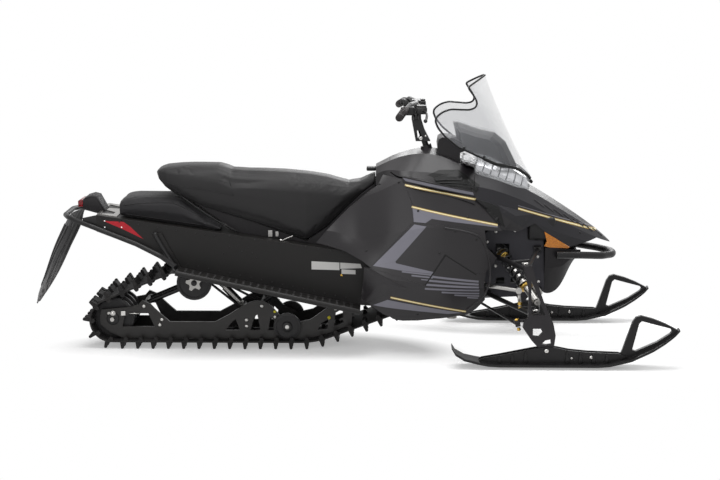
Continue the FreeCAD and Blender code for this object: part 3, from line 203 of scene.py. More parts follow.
def mirrored(shapes):
    """Every bmesh and its twin on the other side."""
    twins = []
    for shape in shapes:
        twin = shape.copy()
        bmesh.ops.scale(twin, vec=(1, -1, 1), verts=twin.verts)
        bmesh.ops.reverse_faces(twin, faces=twin.faces)
        twins += [shape, twin]
    return twins


def flattened(holder):
    """The plain mesh of an object with its modifiers applied, and the object removed."""
    bpy.context.view_layer.update()
    seen = holder.evaluated_get(bpy.context.evaluated_depsgraph_get())
    mesh = bpy.data.meshes.new_from_object(seen)
    mesh.name = holder.name
    bpy.data.objects.remove(holder)
    return mesh


def held(thing, name):
    """An object in the scene that holds a mesh or a curve."""
    holder = bpy.data.objects.new(name, thing)
    bpy.context.scene.collection.objects.link(holder)
    return holder


def tube(name, spots, radius):
    """A bmesh of a round tube along a smooth path of points."""
    curve = bpy.data.curves.new(name, "CURVE")
    curve.dimensions = "3D"
    curve.bevel_depth = radius
    curve.bevel_resolution = 3
    curve.use_fill_caps = True
    curve.resolution_u = 6
    line = curve.splines.new("NURBS")
    line.points.add(len(spots) - 1)
    for dot, spot in zip(line.points, spots):
        dot.co = (*spot, 1.0)
    line.order_u = 3
    line.use_endpoint_u = True
    mesh = flattened(held(curve, name))
    shape = bmesh.new()
    shape.from_mesh(mesh)
    bpy.data.meshes.remove(mesh)
    bmesh.ops.remove_doubles(shape, verts=shape.verts, dist=1e-6)
    bmesh.ops.recalc_face_normals(shape, faces=shape.faces)
    return shape


def pushed(mesh, name, slot, body="chassis", finish=None):
    """A new piece of the snowmobile that rides on a body."""
    made = held(mesh, name)
    made.data.materials.clear()
    made.data.materials.append(finish_of(finish or slot))
    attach(made, body)
    return made


def assembled(name, shapes, slot, body="chassis", finish=None, smooth=True):
    """A new piece joined out of several bmeshes."""
    return pushed(joined(shapes, name, smooth), name, slot, body, finish)


def faceted(name, shapes, slot, body="chassis", finish=None):
    """A new piece joined out of several bmeshes, with flat faces."""
    return assembled(name, shapes, slot, body, finish, False)


def surface_of(*meshes):
    """One surface of several meshes, that lines can be shot at."""
    spots, faces = [], []
    for mesh in meshes:
        start = len(spots)
        spots += [spot.co for spot in mesh.vertices]
        faces += [[start + i for i in face.vertices] for face in mesh.polygons]
    return BVHTree.FromPolygons(spots, faces)


def bodywork():
    """The outer surface of all panels."""
    names = ["console", "hood", "nose_pan", "dash_pod", "belly_pan"]
    names += [f"{name}_{side}" for name in ("knee_panel", "upper_panel", "side_panel", "lower_panel")
              for side in ("right", "left")]
    return surface_of(*(frame["nodes"][name].data for name in names))


def rested(surface, along, up, lift=0.0):
    """A point on a surface's right side, or at its nearest edge."""
    start = Vector((along, -1, up))
    base = surface.ray_cast(start, ACROSS)[0] or surface.find_nearest(start + ACROSS * 0.7)[0]
    return Vector((along, base.y - lift, up))


def draped(surface, spots, faces=None, depth=0.003, step=0.012):
    """A raised piece on a surface's right side. Each spot is X, Z and its height over it in millimetres."""
    shape = bmesh.new()
    corners = [shape.verts.new((x / 1000, lift / 1000, z / 1000)) for x, z, lift in spots]
    for face in faces or [range(len(spots))]:
        shape.faces.new([corners[i] for i in face])
    for axis in (0, 2):
        reach = [spot.co[axis] for spot in shape.verts]
        facing = Vector([1 if i == axis else 0 for i in range(3)])
        for i in range(1, int((max(reach) - min(reach)) / step) + 1):
            whole = shape.verts[:] + shape.edges[:] + shape.faces[:]
            place = facing * (min(reach) + i * step)
            bmesh.ops.bisect_plane(shape, geom=whole, plane_co=place, plane_no=facing)
    most = max(spot.co.y for spot in shape.verts)
    for spot in shape.verts:
        spot.co = rested(surface, spot.co.x, spot.co.z, spot.co.y)
    back = bmesh.ops.extrude_face_region(shape, geom=shape.faces[:])["geom"]
    for spot in back:
        if isinstance(spot, bmesh.types.BMVert):
            spot.co.y += most + depth
    bmesh.ops.recalc_face_normals(shape, faces=shape.faces)
    return shape


def welded(name):
    """A bmesh of a node of the frame, its doubled points joined."""
    shape = bmesh.new()
    shape.from_mesh(frame["nodes"][name].data)
    bmesh.ops.remove_doubles(shape, verts=shape.verts, dist=0.00001)
    return shape


STRIP_PARTS = 24
STRIP_ROWS = 4
STRIP_LIFT = 0.002
LEAST_ARCH = 0.3


def straight_strip(surface, upper, lower, thick):
    """A strip over a surface's right side between two lines in millimetres, clear of the steps under it."""
    start, end = min(upper[0][0], lower[0][0]) / 1000, max(upper[1][0], lower[1][0]) / 1000
    shares = [i / STRIP_PARTS for i in range(STRIP_PARTS + 1)]
    rows, reach = [], []
    for share in shares:
        along = start + (end - start) * share
        heights = []
        for (x1, z1), (x2, z2) in (upper, lower):
            part = min(max((along * 1000 - x1) / (x2 - x1), 0), 1)
            heights.append((z1 + (z2 - z1) * part) / 1000)
        top, low = heights
        rows.append((along, top, low))
        spots = [rested(surface, along, top + (low - top) * j / STRIP_ROWS) for j in range(STRIP_ROWS + 1)]
        reach.append(min(spot.y for spot in spots))
    chord = [reach[1] + (reach[-2] - reach[1]) * share for share in shares]
    arch = [4 * share * (1 - share) for share in shares]
    bow = max(0.0, *((line - out) / max(rise, LEAST_ARCH) for line, out, rise in zip(chord, reach, arch)))
    rings = []
    for (along, top, low), line, rise in zip(rows, chord, arch):
        out = line - bow * rise - STRIP_LIFT
        back = out + thick
        rings.append([(along, out, top), (along, out, low), (along, back, low), (along, back, top)])
    return skin_of(rings)


def laid(surface, along, up, side, sink=0.0):
    """Where a line across the snowmobile meets a surface from one side."""
    start = Vector((along, side, up))
    spot = surface.ray_cast(start, Vector((0, -side, 0)))[0]
    if spot is None:
        raise RuntimeError(f"no surface at {along:.3f}, {up:.3f}")
    return Vector((along, spot.y - side * sink, up))


def dotted(corners, step):
    """Points at even steps along a path of corners."""
    spots = []
    for first, last in zip(corners, corners[1:]):
        first, last = Vector(first), Vector(last)
        count = max(int((last - first).length / step), 1)
        spots += [first.lerp(last, i / count) for i in range(count)]
    return spots + [Vector(corners[-1])]


def metres(outline):
    """Places in metres, from millimetres."""
    return [(x / 1000, z / 1000) for x, z in outline]


# Node graphs, for shaders and for geometry

def sum_of(operation):
    """A method that adds a Math node of one kind."""
    return lambda wire, *others: wire.maths(operation, *others)


class Wire:
    """A socket that Python's operators do sums on. Each sum adds one Math node."""

    def __init__(self, graph, socket):
        self.graph = graph
        self.socket = socket

    def maths(self, operation, *values):
        """A Math node with this wire and the values at its inputs."""
        return self.graph.node("ShaderNodeMath", {"operation": operation}, dict(enumerate((self, *values))))

    def clipped(self):
        """The same value, kept from 0 to 1."""
        return self.graph.node("ShaderNodeClamp", {}, {0: self})

    def __rsub__(self, other):
        return self.graph.node("ShaderNodeMath", {"operation": "SUBTRACT"}, {0: other, 1: self})

    __add__ = __radd__ = sum_of("ADD")
    __sub__ = sum_of("SUBTRACT")
    __mul__ = __rmul__ = sum_of("MULTIPLY")
    __truediv__ = sum_of("DIVIDE")
    __mod__ = sum_of("MODULO")
    __and__ = sum_of("MINIMUM")
    __or__ = sum_of("MAXIMUM")
    __lt__ = sum_of("LESS_THAN")
    __gt__ = sum_of("GREATER_THAN")
    __abs__ = sum_of("ABSOLUTE")


class Graph:
    """Adds nodes to a tree, settings first, then the values or links of the sockets."""

    def __init__(self, tree):
        self.tree = tree

    def node(self, kind, settings=None, sockets=None, output=0):
        """A new node's output, as a wire."""
        made = self.tree.nodes.new(kind)
        for name, value in (settings or {}).items():
            setattr(made, name, value)
        for name, value in (sockets or {}).items():
            for one in value if isinstance(value, list) else [value]:
                if isinstance(one, Wire):
                    self.tree.links.new(one.socket, made.inputs[name])
                else:
                    made.inputs[name].default_value = one
        return Wire(self, made.outputs[output])

    def other(self, wire, output):
        """Another output of the node that a wire comes from."""
        return Wire(self, wire.socket.node.outputs[output])


class Pattern(Graph):
    """A geometry tree with named inputs, that ends in plain geometry of one material."""

    kinds = {"Rows": "NodeSocketInt", "Columns": "NodeSocketInt", "Length": "NodeSocketFloat",
             "Width": "NodeSocketFloat", "Piece": "NodeSocketObject", "Second piece": "NodeSocketObject",
             "Finish": "NodeSocketMaterial"}

    def __init__(self, name, inputs):
        super().__init__(bpy.data.node_groups.new(name, "GeometryNodeTree"))
        face = self.tree.interface
        face.new_socket("Geometry", in_out="INPUT", socket_type="NodeSocketGeometry")
        for label in inputs:
            face.new_socket(label, in_out="INPUT", socket_type=self.kinds[label])
        face.new_socket("Geometry", in_out="OUTPUT", socket_type="NodeSocketGeometry")
        self.start = self.tree.nodes.new("NodeGroupInput")

    def given(self, label):
        """One of the tree's inputs."""
        return Wire(self, self.start.outputs[label])

    def end(self, geometry):
        """Gives the geometry its finish and leads it out of the tree."""
        real = self.node("GeometryNodeRealizeInstances", sockets={0: geometry})
        done = self.node("GeometryNodeSetMaterial", sockets={0: real, "Material": self.given("Finish")})
        out = self.tree.nodes.new("NodeGroupOutput")
        self.tree.links.new(done.socket, out.inputs[0])

    def copies(self, spots, piece, rotation, scale=None, chosen=None):
        """The object of an input on every spot, turned and scaled."""
        whole = self.node("GeometryNodeObjectInfo", sockets={0: self.given(piece)}, output="Geometry")
        sockets = {"Points": spots, "Instance": whole, "Rotation": rotation}
        if scale:
            sockets["Scale"] = scale
        if chosen:
            sockets["Selection"] = chosen
        return self.node("GeometryNodeInstanceOnPoints", sockets=sockets)

    def made(self, base, name, values):
        """The plain mesh that the tree makes of a base mesh, with the values of its inputs."""
        holder = held(base, name)
        modifier = holder.modifiers.new(name, "NODES")
        modifier.node_group = self.tree
        names = {row.name: row.identifier for row in self.tree.interface.items_tree if row.in_out == "INPUT"}
        for label, value in values.items():
            modifier[names[label]] = value
        mesh = flattened(holder)
        for value in values.values():
            if isinstance(value, bpy.types.Object):
                bpy.data.objects.remove(value)
        return mesh


def scattered(name, piece, places, finish):
    """Copies of a small bmesh on places, each (spot, facing, scale), through a geometry tree."""
    pattern = Pattern(name + "_pattern", ["Piece", "Finish"])
    vector = {"data_type": "FLOAT_VECTOR"}
    turn = pattern.node("GeometryNodeInputNamedAttribute", vector, {"Name": "turn"})
    size = pattern.node("GeometryNodeInputNamedAttribute", vector, {"Name": "size"})
    pattern.end(pattern.copies(pattern.given("Geometry"), "Piece", turn, size))
    base = bpy.data.meshes.new(name)
    base.from_pydata([spot for spot, _, _ in places], [], [])
    turns = base.attributes.new("turn", "FLOAT_VECTOR", "POINT")
    scales = base.attributes.new("size", "FLOAT_VECTOR", "POINT")
    for i, (_, facing, scale) in enumerate(places):
        lean = facing if isinstance(facing, Matrix) else Vector(facing).to_track_quat("Z", "Y").to_matrix()
        turns.data[i].vector = lean.to_euler()
        scales.data[i].vector = (scale, scale, scale) if isinstance(scale, (int, float)) else scale
    shape = held(mesh_of(piece, name + "_piece"), name + "_piece")
    return pattern.made(base, name, {"Piece": shape, "Finish": finish})


def fastened(name, piece, places, finish, slot="steel", body="chassis"):
    """A new piece made of many small fasteners of one kind."""
    pushed(scattered(name, piece, places, finish_of(finish)), name, slot, body, finish)


def cap(place, axis, radius, thick, top, sides=6, ease=0.002):
    """A round cap, or a nut of six sides, with its outer edge eased."""
    return lathe(place, axis, [(0, radius), (thick, radius), (thick + ease, top)], sides)


def hex_bolt():
    """Flanged hexagon bolt head about the origin, facing up, one metre for one unit of radius."""
    shape = lathe((0, 0, 0), (0, 0, 1), [(-0.3, 1.0), (0.0, 1.0), (0.08, 0.96), (0.12, 0.8)], 18)
    head = lathe((0, 0, 0), (0, 0, 1), [(0.0, 0.74), (0.55, 0.74), (0.66, 0.62)], 6)
    mesh = mesh_of(head, "head")
    shape.from_mesh(mesh)
    bpy.data.meshes.remove(mesh)
    return shape


def dome_bolt():
    """Round head with a socket, about the origin, facing up."""
    profile = [(-0.3, 1.0), (0.1, 1.0), (0.34, 0.84), (0.5, 0.5), (0.5, 0.34), (0.2, 0.3)]
    return lathe((0, 0, 0), (0, 0, 1), profile, 14)


def stitch():
    """One stitch about the origin, along X."""
    return lathe((-0.5, 0, 0), (1, 0, 0), [(0, 0.1), (0.15, 0.2), (0.5, 0.24), (0.85, 0.2), (1, 0.1)], 6)


def sewn(name, path, pitch, finish):
    """Stitches along a path of points."""
    places = []
    for first, last in zip(path, path[1:]):
        run = last - first
        if run.length > 1e-5:
            turn = run.to_track_quat("X", "Z").to_matrix()
            places.append((first.lerp(last, 0.5), turn, (pitch * 0.62, pitch * 0.9, pitch * 0.6)))
    return scattered(name, stitch(), places, finish)


# Finishes

class Finish(Graph):
    """One material: a Principled shader, and helpers for the patterns that feed it."""

    def __init__(self, name, colour, roughness, **fixed):
        self.material = bpy.data.materials.new(name)
        self.material.use_nodes = True
        super().__init__(self.material.node_tree)
        self.shader = self.tree.nodes["Principled BSDF"]
        self.put("Base Color", colour)
        self.put("Roughness", roughness)
        self.put("Specular IOR Level", 0.5 if "Metallic" in fixed else 0.26)
        for socket, value in fixed.items():
            self.put(socket.replace("_", " "), value)
        self.spot = self.node("ShaderNodeTexCoord", output="Object")
        self.height = None
        split = self.node("ShaderNodeSeparateXYZ", sockets={0: self.spot})
        self.x, self.y, self.z = split, self.other(split, 1), self.other(split, 2)

    def put(self, socket, value):
        """Sets or links one of the shader's sockets."""
        if isinstance(value, Wire):
            self.tree.links.new(value.socket, self.shader.inputs[socket])
        else:
            self.shader.inputs[socket].default_value = value

    def stretched(self, x, y, z):
        """The piece's coordinates, stretched along its axes."""
        return self.node("ShaderNodeMapping", {"vector_type": "POINT"}, {0: self.spot, "Scale": (x, y, z)})

    def noise(self, scale, detail=3.0, spot=None):
        """Cloudy noise over the piece, from 0 to 1."""
        sockets = {"Vector": spot or self.spot, "Scale": scale, "Detail": detail}
        return self.node("ShaderNodeTexNoise", sockets=sockets)

    def grain(self, scale):
        """Distance to the nearest of many scattered cell centres."""
        sockets = {"Vector": self.spot, "Scale": scale}
        return self.node("ShaderNodeTexVoronoi", {"feature": "F1"}, sockets)

    def blend(self, mask, first, last):
        """A colour that goes from first to last as a mask goes from 0 to 1."""
        return self.node("ShaderNodeMix", {"data_type": "RGBA"}, {0: mask, 6: first, 7: last}, 2)

    def clouded(self, colour, scale, spread, detail=3.0):
        """Base colour and roughness that drift a little over the piece."""
        cloud = self.noise(scale, detail)
        self.put("Base Color", self.blend(cloud, shaded(colour, 1 - spread), shaded(colour, 1 + spread)))
        return cloud

    def relief(self, height, distance, strength=1.0):
        """Bumps of a real height in metres, over any that are there already."""
        sockets = {"Height": height, "Distance": distance, "Strength": strength}
        if self.height:
            sockets["Normal"] = self.height
        self.height = self.node("ShaderNodeBump", sockets=sockets)
        self.put("Normal", self.height)

    def rounded(self, radius):
        """Softens the piece's sharp edges."""
        self.height = self.node("ShaderNodeBevel", {"samples": 4}, {"Radius": radius})
        self.put("Normal", self.height)

    def worn(self, radius):
        """A mask of the piece's outer edges, where handling rubs them."""
        soft = self.node("ShaderNodeBevel", {"samples": 4}, {"Radius": radius})
        true = self.node("ShaderNodeNewGeometry", output="Normal")
        same = self.node("ShaderNodeVectorMath", {"operation": "DOT_PRODUCT"}, {0: soft, 1: true}, "Value")
        return ((1 - same) * 9.0 - 0.6).clipped() * self.noise(60.0, 4.0)

    def inside(self, outline, soft=0.0008):
        """A mask of a convex outline of (X, Z) places in metres, seen from the side."""
        area = sum(a[0] * b[1] - b[0] * a[1] for a, b in zip(outline, outline[1:] + outline[:1]))
        turn = 1 if area > 0 else -1
        depth = None
        for (x1, z1), (x2, z2) in zip(outline, outline[1:] + outline[:1]):
            length = math.hypot(x2 - x1, z2 - z1)
            over, up = -turn * (z2 - z1) / length, turn * (x2 - x1) / length
            line = self.x * over + (self.z * up - (x1 * over + z1 * up))
            depth = line if depth is None else depth & line
        return (depth / soft + 0.5).clipped()

    def patches(self, outlines):
        """A mask of several convex outlines in millimetres."""
        return either([self.inside(metres(outline)) for outline in outlines])

    def oval(self, middle, reach):
        """How far inside an oval on the floor a place is, from 1 in its middle to 0 at its edge."""
        along, across = (self.x - middle[0]) / reach[0], (self.y - middle[1]) / reach[1]
        return (1 - (along * along + across * across)).clipped()

    def stripe(self, ends, width):
        """A mask of a straight stripe between two (X, Z) places, all in millimetres."""
        (x1, z1), (x2, z2) = metres(ends)
        length = math.hypot(x2 - x1, z2 - z1)
        over, up = -(z2 - z1) / length * width / 2000, (x2 - x1) / length * width / 2000
        return self.inside([(x1 + over, z1 + up), (x2 + over, z2 + up),
                            (x2 - over, z2 - up), (x1 - over, z1 - up)])


def either(masks):
    """One mask out of several."""
    whole = masks[0]
    for mask in masks[1:]:
        whole = whole | mask
    return whole


def sizes():
    """The sizes and colours that the sidebar shows."""
    return bpy.context.scene.snowmobile_sizes


def grained_plastic(name, colour=CHARCOAL, roughness=0.5, edge=0.0012):
    """Moulded plastic with a fine grain."""
    made = Finish(name, colour, roughness)
    made.rounded(edge)
    cloud = made.clouded(colour, 9.0, 0.13)
    made.put("Roughness", cloud * 0.16 + (roughness - 0.08))
    made.relief(made.grain(900.0), 0.00012, 0.5)
    return made.material


def rubber(name, colour=BLACK, roughness=0.72, dusty=tone("3a3837")):
    """Dull rubber with dust in its hollows."""
    made = Finish(name, colour, roughness)
    made.rounded(0.0015)
    dust = made.noise(14.0, 5.0)
    made.put("Base Color", made.blend(dust * dust, colour, dusty))
    made.put("Roughness", dust * 0.2 + (roughness - 0.1))
    made.relief(made.noise(260.0, 4.0), 0.0004, 0.4)
    return made.material


def coated_metal(name, colour=BLACK, roughness=0.42):
    """Black coated metal, rubbed at its edges."""
    made = Finish(name, colour, roughness, Specular_IOR_Level=0.35)
    worn = made.worn(0.002)
    made.rounded(0.0012)
    cloud = made.noise(22.0, 4.0)
    drift = made.blend(cloud, shaded(colour, 0.8), shaded(colour, 1.25))
    made.put("Base Color", made.blend(worn, drift, tone("6b6967")))
    made.put("Roughness", cloud * 0.2 + (roughness - 0.1))
    made.relief(made.noise(700.0, 2.0), 0.00008, 0.5)
    return made.material


def bare_metal(name, colour=tone("b9b7b4"), roughness=0.3, brushed=(1.0, 60.0, 1.0)):
    """Plain metal with fine brush lines."""
    made = Finish(name, colour, roughness, Metallic=1.0)
    made.rounded(0.0008)
    lines = made.noise(40.0, 3.0, made.stretched(*brushed))
    made.put("Roughness", lines * 0.25 + (roughness - 0.1))
    made.put("Base Color", made.blend(lines, shaded(colour, 0.8), colour))
    made.relief(lines, 0.00005, 0.5)
    return made.material


def cast_metal(name, colour=tone("55555c"), roughness=0.5, metallic=0.6):
    """Cast metal with a rough skin."""
    made = Finish(name, colour, roughness, Metallic=metallic)
    made.rounded(0.0015)
    cloud = made.clouded(colour, 18.0, 0.16, 4.0)
    made.put("Roughness", cloud * 0.2 + (roughness - 0.1))
    made.relief(made.noise(420.0, 3.0), 0.0002, 0.5)
    return made.material


GREY_PATCHES = [
    [(258, 838), (270, 823), (590, 757), (585, 771)],
    [(303, 702), (309, 641), (364, 637), (393, 656)],
    [(303, 702), (393, 656), (700, 611), (702, 619)],
    [(312, 630), (368, 622), (224, 457), (120, 435)],
    [(224, 457), (230, 449), (170, 440), (120, 435)],
    [(120, 436), (230, 450), (320, 431), (400, 413), (400, 403), (240, 419)],
    [(120, 240), (188, 272), (540, 207), (470, 203)],
]
GREY_STRIPES = [
    (((255, 413), (400, 398)), 7), (((300, 396), (398, 386)), 7), (((345, 378), (390, 374)), 5),
    (((393, 391), (612, 364)), 9), (((380, 373), (612, 350)), 9), (((368, 354), (613, 336)), 9),
    (((362, 334), (616, 321)), 9), (((440, 316), (616, 305)), 8), (((500, 301), (616, 292)), 7),
    (((560, 287), (612, 281)), 6),
]
GOLD_STRIPES = [((268, 805), (599, 738)), ((300, 708), (701, 621)), ((203, 285), (556, 213)),
                ((800, 690), (1190, 561))]
PALE_STRIPE = ((800, 703), (1180, 576))
# Painted shade: the intake opening behind the hood, and two dark lines along the side panel's creases. The
# vent area under the console is black plastic with painted shade in its recess.
SHADE_AND_BLACK_PATCHES = [
    [(604, 733), (690, 700), (728, 640), (733, 606), (706, 610), (660, 690)],
    [(455, 495), (360, 352), (366, 350), (458, 484)],
    [(455, 495), (458, 486), (602, 392), (602, 399)],
    [(372, 846), (430, 868), (520, 868), (620, 800), (600, 772), (520, 794)],
]


def panel_paint(name):
    """Satin charcoal body panels with their stripes and painted shade in openings and creases, the same on
    both sides.
    """
    base = tuple(sizes().panel_colour)
    made = Finish(name, base, 0.36, Coat_Weight=0.12, Coat_Roughness=0.25)
    made.rounded(0.0015)
    cloud = made.noise(6.0, 3.0)
    hood = ((made.x - 0.6) / 0.01).clipped() * ((made.z - 1.13 + made.x * 0.65) / 0.01).clipped()
    grey = either([made.patches(GREY_PATCHES)] + [made.stripe(ends, width) for ends, width in GREY_STRIPES])
    edges, cores = (either([made.stripe(ends, width) for ends in GOLD_STRIPES]) for width in (9.5, 4))
    # Near-black painted shade in the intake opening and along the creases, and black plastic with painted
    # shade in the vent recess.
    dark = made.patches(SHADE_AND_BLACK_PATCHES)
    colour = made.blend(cloud, shaded(base, 0.9), shaded(base, 1.1))
    for mask, paint in ((hood, tone("1f1e22")), (grey, SILVER_GREY),
                        (made.stripe(PALE_STRIPE, 3), tone("6d6b70")), (edges, tuple(sizes().stripe_colour)),
                        (cores, GOLD_CORE), (dark, tone("0c0c0c"))):
        colour = made.blend(mask, colour, paint)
    made.put("Base Color", colour)
    made.put("Roughness", cloud * 0.12 + dark * 0.3 + 0.28)
    made.relief(made.noise(520.0, 2.0), 0.00005, 0.35)
    return made.material


RED_FLASH = [[(-1158, 623), (-1060, 618), (-1030, 596), (-1062, 582)],
             [(-1062, 582), (-1030, 596), (-968, 536)]]
BLANK_PLATES = [[(-172, 432), (-40, 426), (-40, 390), (-172, 393)],
                [(-36, 426), (60, 420), (66, 400), (-36, 396)],
                [(-30, 394), (36, 390), (36, 370), (-30, 372)]]


def tunnel_paint(name):
    """Black tunnel side with its red flash and blank plates."""
    made = Finish(name, BLACK, 0.45)
    worn = made.worn(0.002)
    made.rounded(0.001)
    cloud = made.noise(12.0, 4.0)
    colour = made.blend(cloud, tone("121111"), tone("1b1918"))
    for mask, paint in ((worn, tone("4a4745")), (made.patches(RED_FLASH), RED),
                        (made.patches(BLANK_PLATES), tone("c9c8c6"))):
        colour = made.blend(mask, colour, paint)
    made.put("Base Color", colour)
    made.put("Roughness", cloud * 0.2 + 0.35)
    made.relief(made.noise(600.0, 2.0), 0.00006, 0.5)
    return made.material


def vinyl(name):
    """Black grained seat vinyl."""
    made = Finish(name, tone("1c1b1c"), 0.5, Sheen_Weight=0.08, Sheen_Roughness=0.5)
    cloud = made.noise(7.0, 3.0)
    made.put("Base Color", made.blend(cloud, tone("171617"), tone("201f20")))
    made.put("Roughness", cloud * 0.14 + 0.44)
    made.relief(made.grain(620.0), 0.00035, 0.55)
    made.relief(made.noise(34.0, 3.0), 0.0012, 0.25)
    return made.material


def nylon(name):
    """Black woven nylon of the storage bag."""
    made = Finish(name, tone("1b1a1c"), 0.62, Sheen_Weight=0.12, Sheen_Roughness=0.4)
    warp = ((made.x + made.z) * 3200.0).maths("SINE")
    weft = ((made.y + made.z * 0.6 - made.x * 0.4) * 3200.0).maths("SINE")
    made.put("Base Color", made.blend(made.noise(9.0, 3.0), tone("161517"), tone("222123")))
    made.relief(warp * weft, 0.00018, 0.6)
    made.relief(made.noise(22.0, 3.0), 0.002, 0.25)
    return made.material


def clear_plastic(name):
    """Clear windshield, a little grey where it turns away and at its foot."""
    made = Finish(name, tone("dfe0e3"), 0.04, Specular_IOR_Level=0.4)
    foot = ((0.93 - made.z - (made.x - 0.60) * 0.55) / 0.12).clipped()
    side = (abs(made.y) / 0.17).clipped()
    made.put("Base Color", made.blend(foot, tone("b4b6bb"), tone("46464b")))
    made.put("Alpha", foot * 0.4 + side * side * 0.10 + 0.08)
    made.put("Roughness", foot * 0.05 + 0.03)
    made.relief(made.noise(3.0, 1.0), 0.001, 0.1)
    return made.material


def lamp_lens(name):
    """Clear cover of the lamp unit."""
    made = Finish(name, tone("e9ebee"), 0.05, Coat_Weight=0.5)
    ribs = (made.x * 420.0).maths("SINE") * 0.5 + 0.5
    made.put("Alpha", ribs * 0.06 + 0.2)
    made.put("Roughness", ribs * 0.05 + 0.04)
    made.relief(ribs, 0.0004, 0.3)
    return made.material


def lamp_chrome(name):
    """Bright stepped reflector inside the lamp unit."""
    made = Finish(name, tone("dedfe2"), 0.16, Metallic=0.55)
    lean = made.x * 0.9 - made.z * 0.35
    steps = (lean * 26.0).maths("FRACT")
    seams = ((abs(steps - 0.5) - 0.40) / 0.03).clipped()
    cloud = made.noise(26.0, 2.0)
    bright = made.blend(cloud, tone("83858c"), tone("f8f8f9"))
    made.put("Base Color", made.blend(seams, bright, tone("3c3d42")))
    made.put("Roughness", cloud * 0.14 + 0.12)
    made.relief(steps, 0.002, 0.6)
    return made.material


def coloured_lens(name, colour, deep):
    """Lens of a lamp or a reflector, with small cells."""
    made = Finish(name, colour, 0.16, Coat_Weight=0.5)
    made.rounded(0.0012)
    cells = made.grain(220.0)
    made.put("Base Color", made.blend((cells * 1.6).clipped(), colour, deep))
    made.put("Roughness", cells * 0.1 + 0.12)
    made.relief(cells, 0.0005, 0.5)
    return made.material


def flap_sheet(name):
    """Snow flap: ribbed rubber, rubbed grey towards its foot."""
    made = Finish(name, tone("2c2b2c"), 0.55)
    made.rounded(0.0012)
    ribs = (made.y * 210.0).maths("SINE") * 0.5 + 0.5
    rubbed = ((0.42 - made.z) / 0.16).clipped() * (made.noise(24.0, 5.0) * ribs * 1.7).clipped()
    colour = made.blend(made.noise(10.0, 4.0), tone("252425"), tone("383738"))
    made.put("Base Color", made.blend(rubbed, colour, tone("8d8b8b")))
    made.put("Roughness", ribs * 0.15 + 0.42)
    made.relief(ribs, 0.0016, 0.8)
    return made.material


def floor_paint(name):
    """Pale studio floor that fades to a white ground away from the snowmobile."""
    made = Finish(name, tone("e9e9e9"), 0.9)
    cloud = made.noise(2.0, 2.0)
    made.put("Roughness", cloud * 0.05 + 0.87)
    path = made.node("ShaderNodeLightPath")
    seen = path | made.other(path, "Is Glossy Ray") | made.other(path, "Is Transmission Ray")
    track = made.oval((-0.47, -0.30), (1.05, 0.62))
    skis = made.oval((0.98, -0.62), (0.86, 0.34)) | made.oval((0.98, 0.50), (0.86, 0.36))
    away = 1 - ((track | skis) / 0.35).clipped()
    white = made.node("ShaderNodeEmission", sockets={0: (1, 1, 1, 1), 1: 1.0})
    glow = made.node("ShaderNodeEmission", sockets={0: (1, 1, 1, 1), 1: 0.34})
    lit = Wire(made, made.shader.outputs[0])
    near = made.node("ShaderNodeAddShader", sockets={0: lit, 1: glow})
    ground = made.node("ShaderNodeMixShader", sockets={0: away, 1: near, 2: white})
    pick = made.node("ShaderNodeMixShader", sockets={0: seen, 1: lit, 2: ground})
    end = made.tree.nodes["Material Output"]
    made.tree.links.new(pick.socket, end.inputs[0])
    return made.material


FINISHES = {
    "track_rubber": [rubber],
    "wheel_black": [grained_plastic, tone("232223"), 0.42],
    "steel": [bare_metal],
    "rail_black": [coated_metal, tone("211f1e"), 0.38],
    "tunnel_black": [tunnel_paint],
    "frame_black": [coated_metal],
    "flap_rubber": [flap_sheet],
    "panel_plastic": [grained_plastic],
    "panel_gloss": [panel_paint],
    "lens_red": [coloured_lens, tone("b5121f"), tone("5a060c")],
    "lens_orange": [coloured_lens, tone("ea930a"), tone("c27206")],
    "lens_clear": [lamp_lens],
    "screen_clear": [clear_plastic],
    "seat_vinyl": [vinyl],
    "bag_fabric": [nylon],
    "cast_grey": [cast_metal, tone("2b2a30"), 0.5, 0.3],
    "cast_black": [cast_metal, tone("2a282a"), 0.42],
    "exhaust_steel": [bare_metal, tone("8a8784"), 0.35],
    "spring_black": [coated_metal, tone("1d1d1f"), 0.3],
    "damper_silver": [bare_metal, tone("a5a3a0"), 0.25],
    "grip_rubber": [rubber, tone("241f20"), 0.6],
    "ski_plastic": [grained_plastic, tone("1a191a"), 0.36, 0.002],
    "brass": [bare_metal, tone("c9a553"), 0.24, (1.0, 1.0, 20.0)],
    "bright_bolt": [bare_metal, tone("d5d3d0"), 0.28, (1.0, 1.0, 1.0)],
    "screen_rubber": [rubber, tone("141414"), 0.45, tone("1d1d1e")],
    "lamp_chrome": [lamp_chrome],
    "seam_thread": [rubber, tone("1a191a"), 0.6, tone("242324")],
    "red_cap": [grained_plastic, tone("9c1420"), 0.35],
    "yellow_cap": [grained_plastic, tone("c8bd2c"), 0.4],
    "tail_fin": [coated_metal, tone("3a393b"), 0.35],
    "label_plate": [grained_plastic, tone("b9b7b5"), 0.4],
    "studio_floor": [floor_paint],
}


def finish_of(name):
    """The finish of that name, made when it is first asked for."""
    full = name + "_finish"
    maker, *values = FINISHES[name]
    return bpy.data.materials.get(full) or maker(full, *values)


# Soft pieces

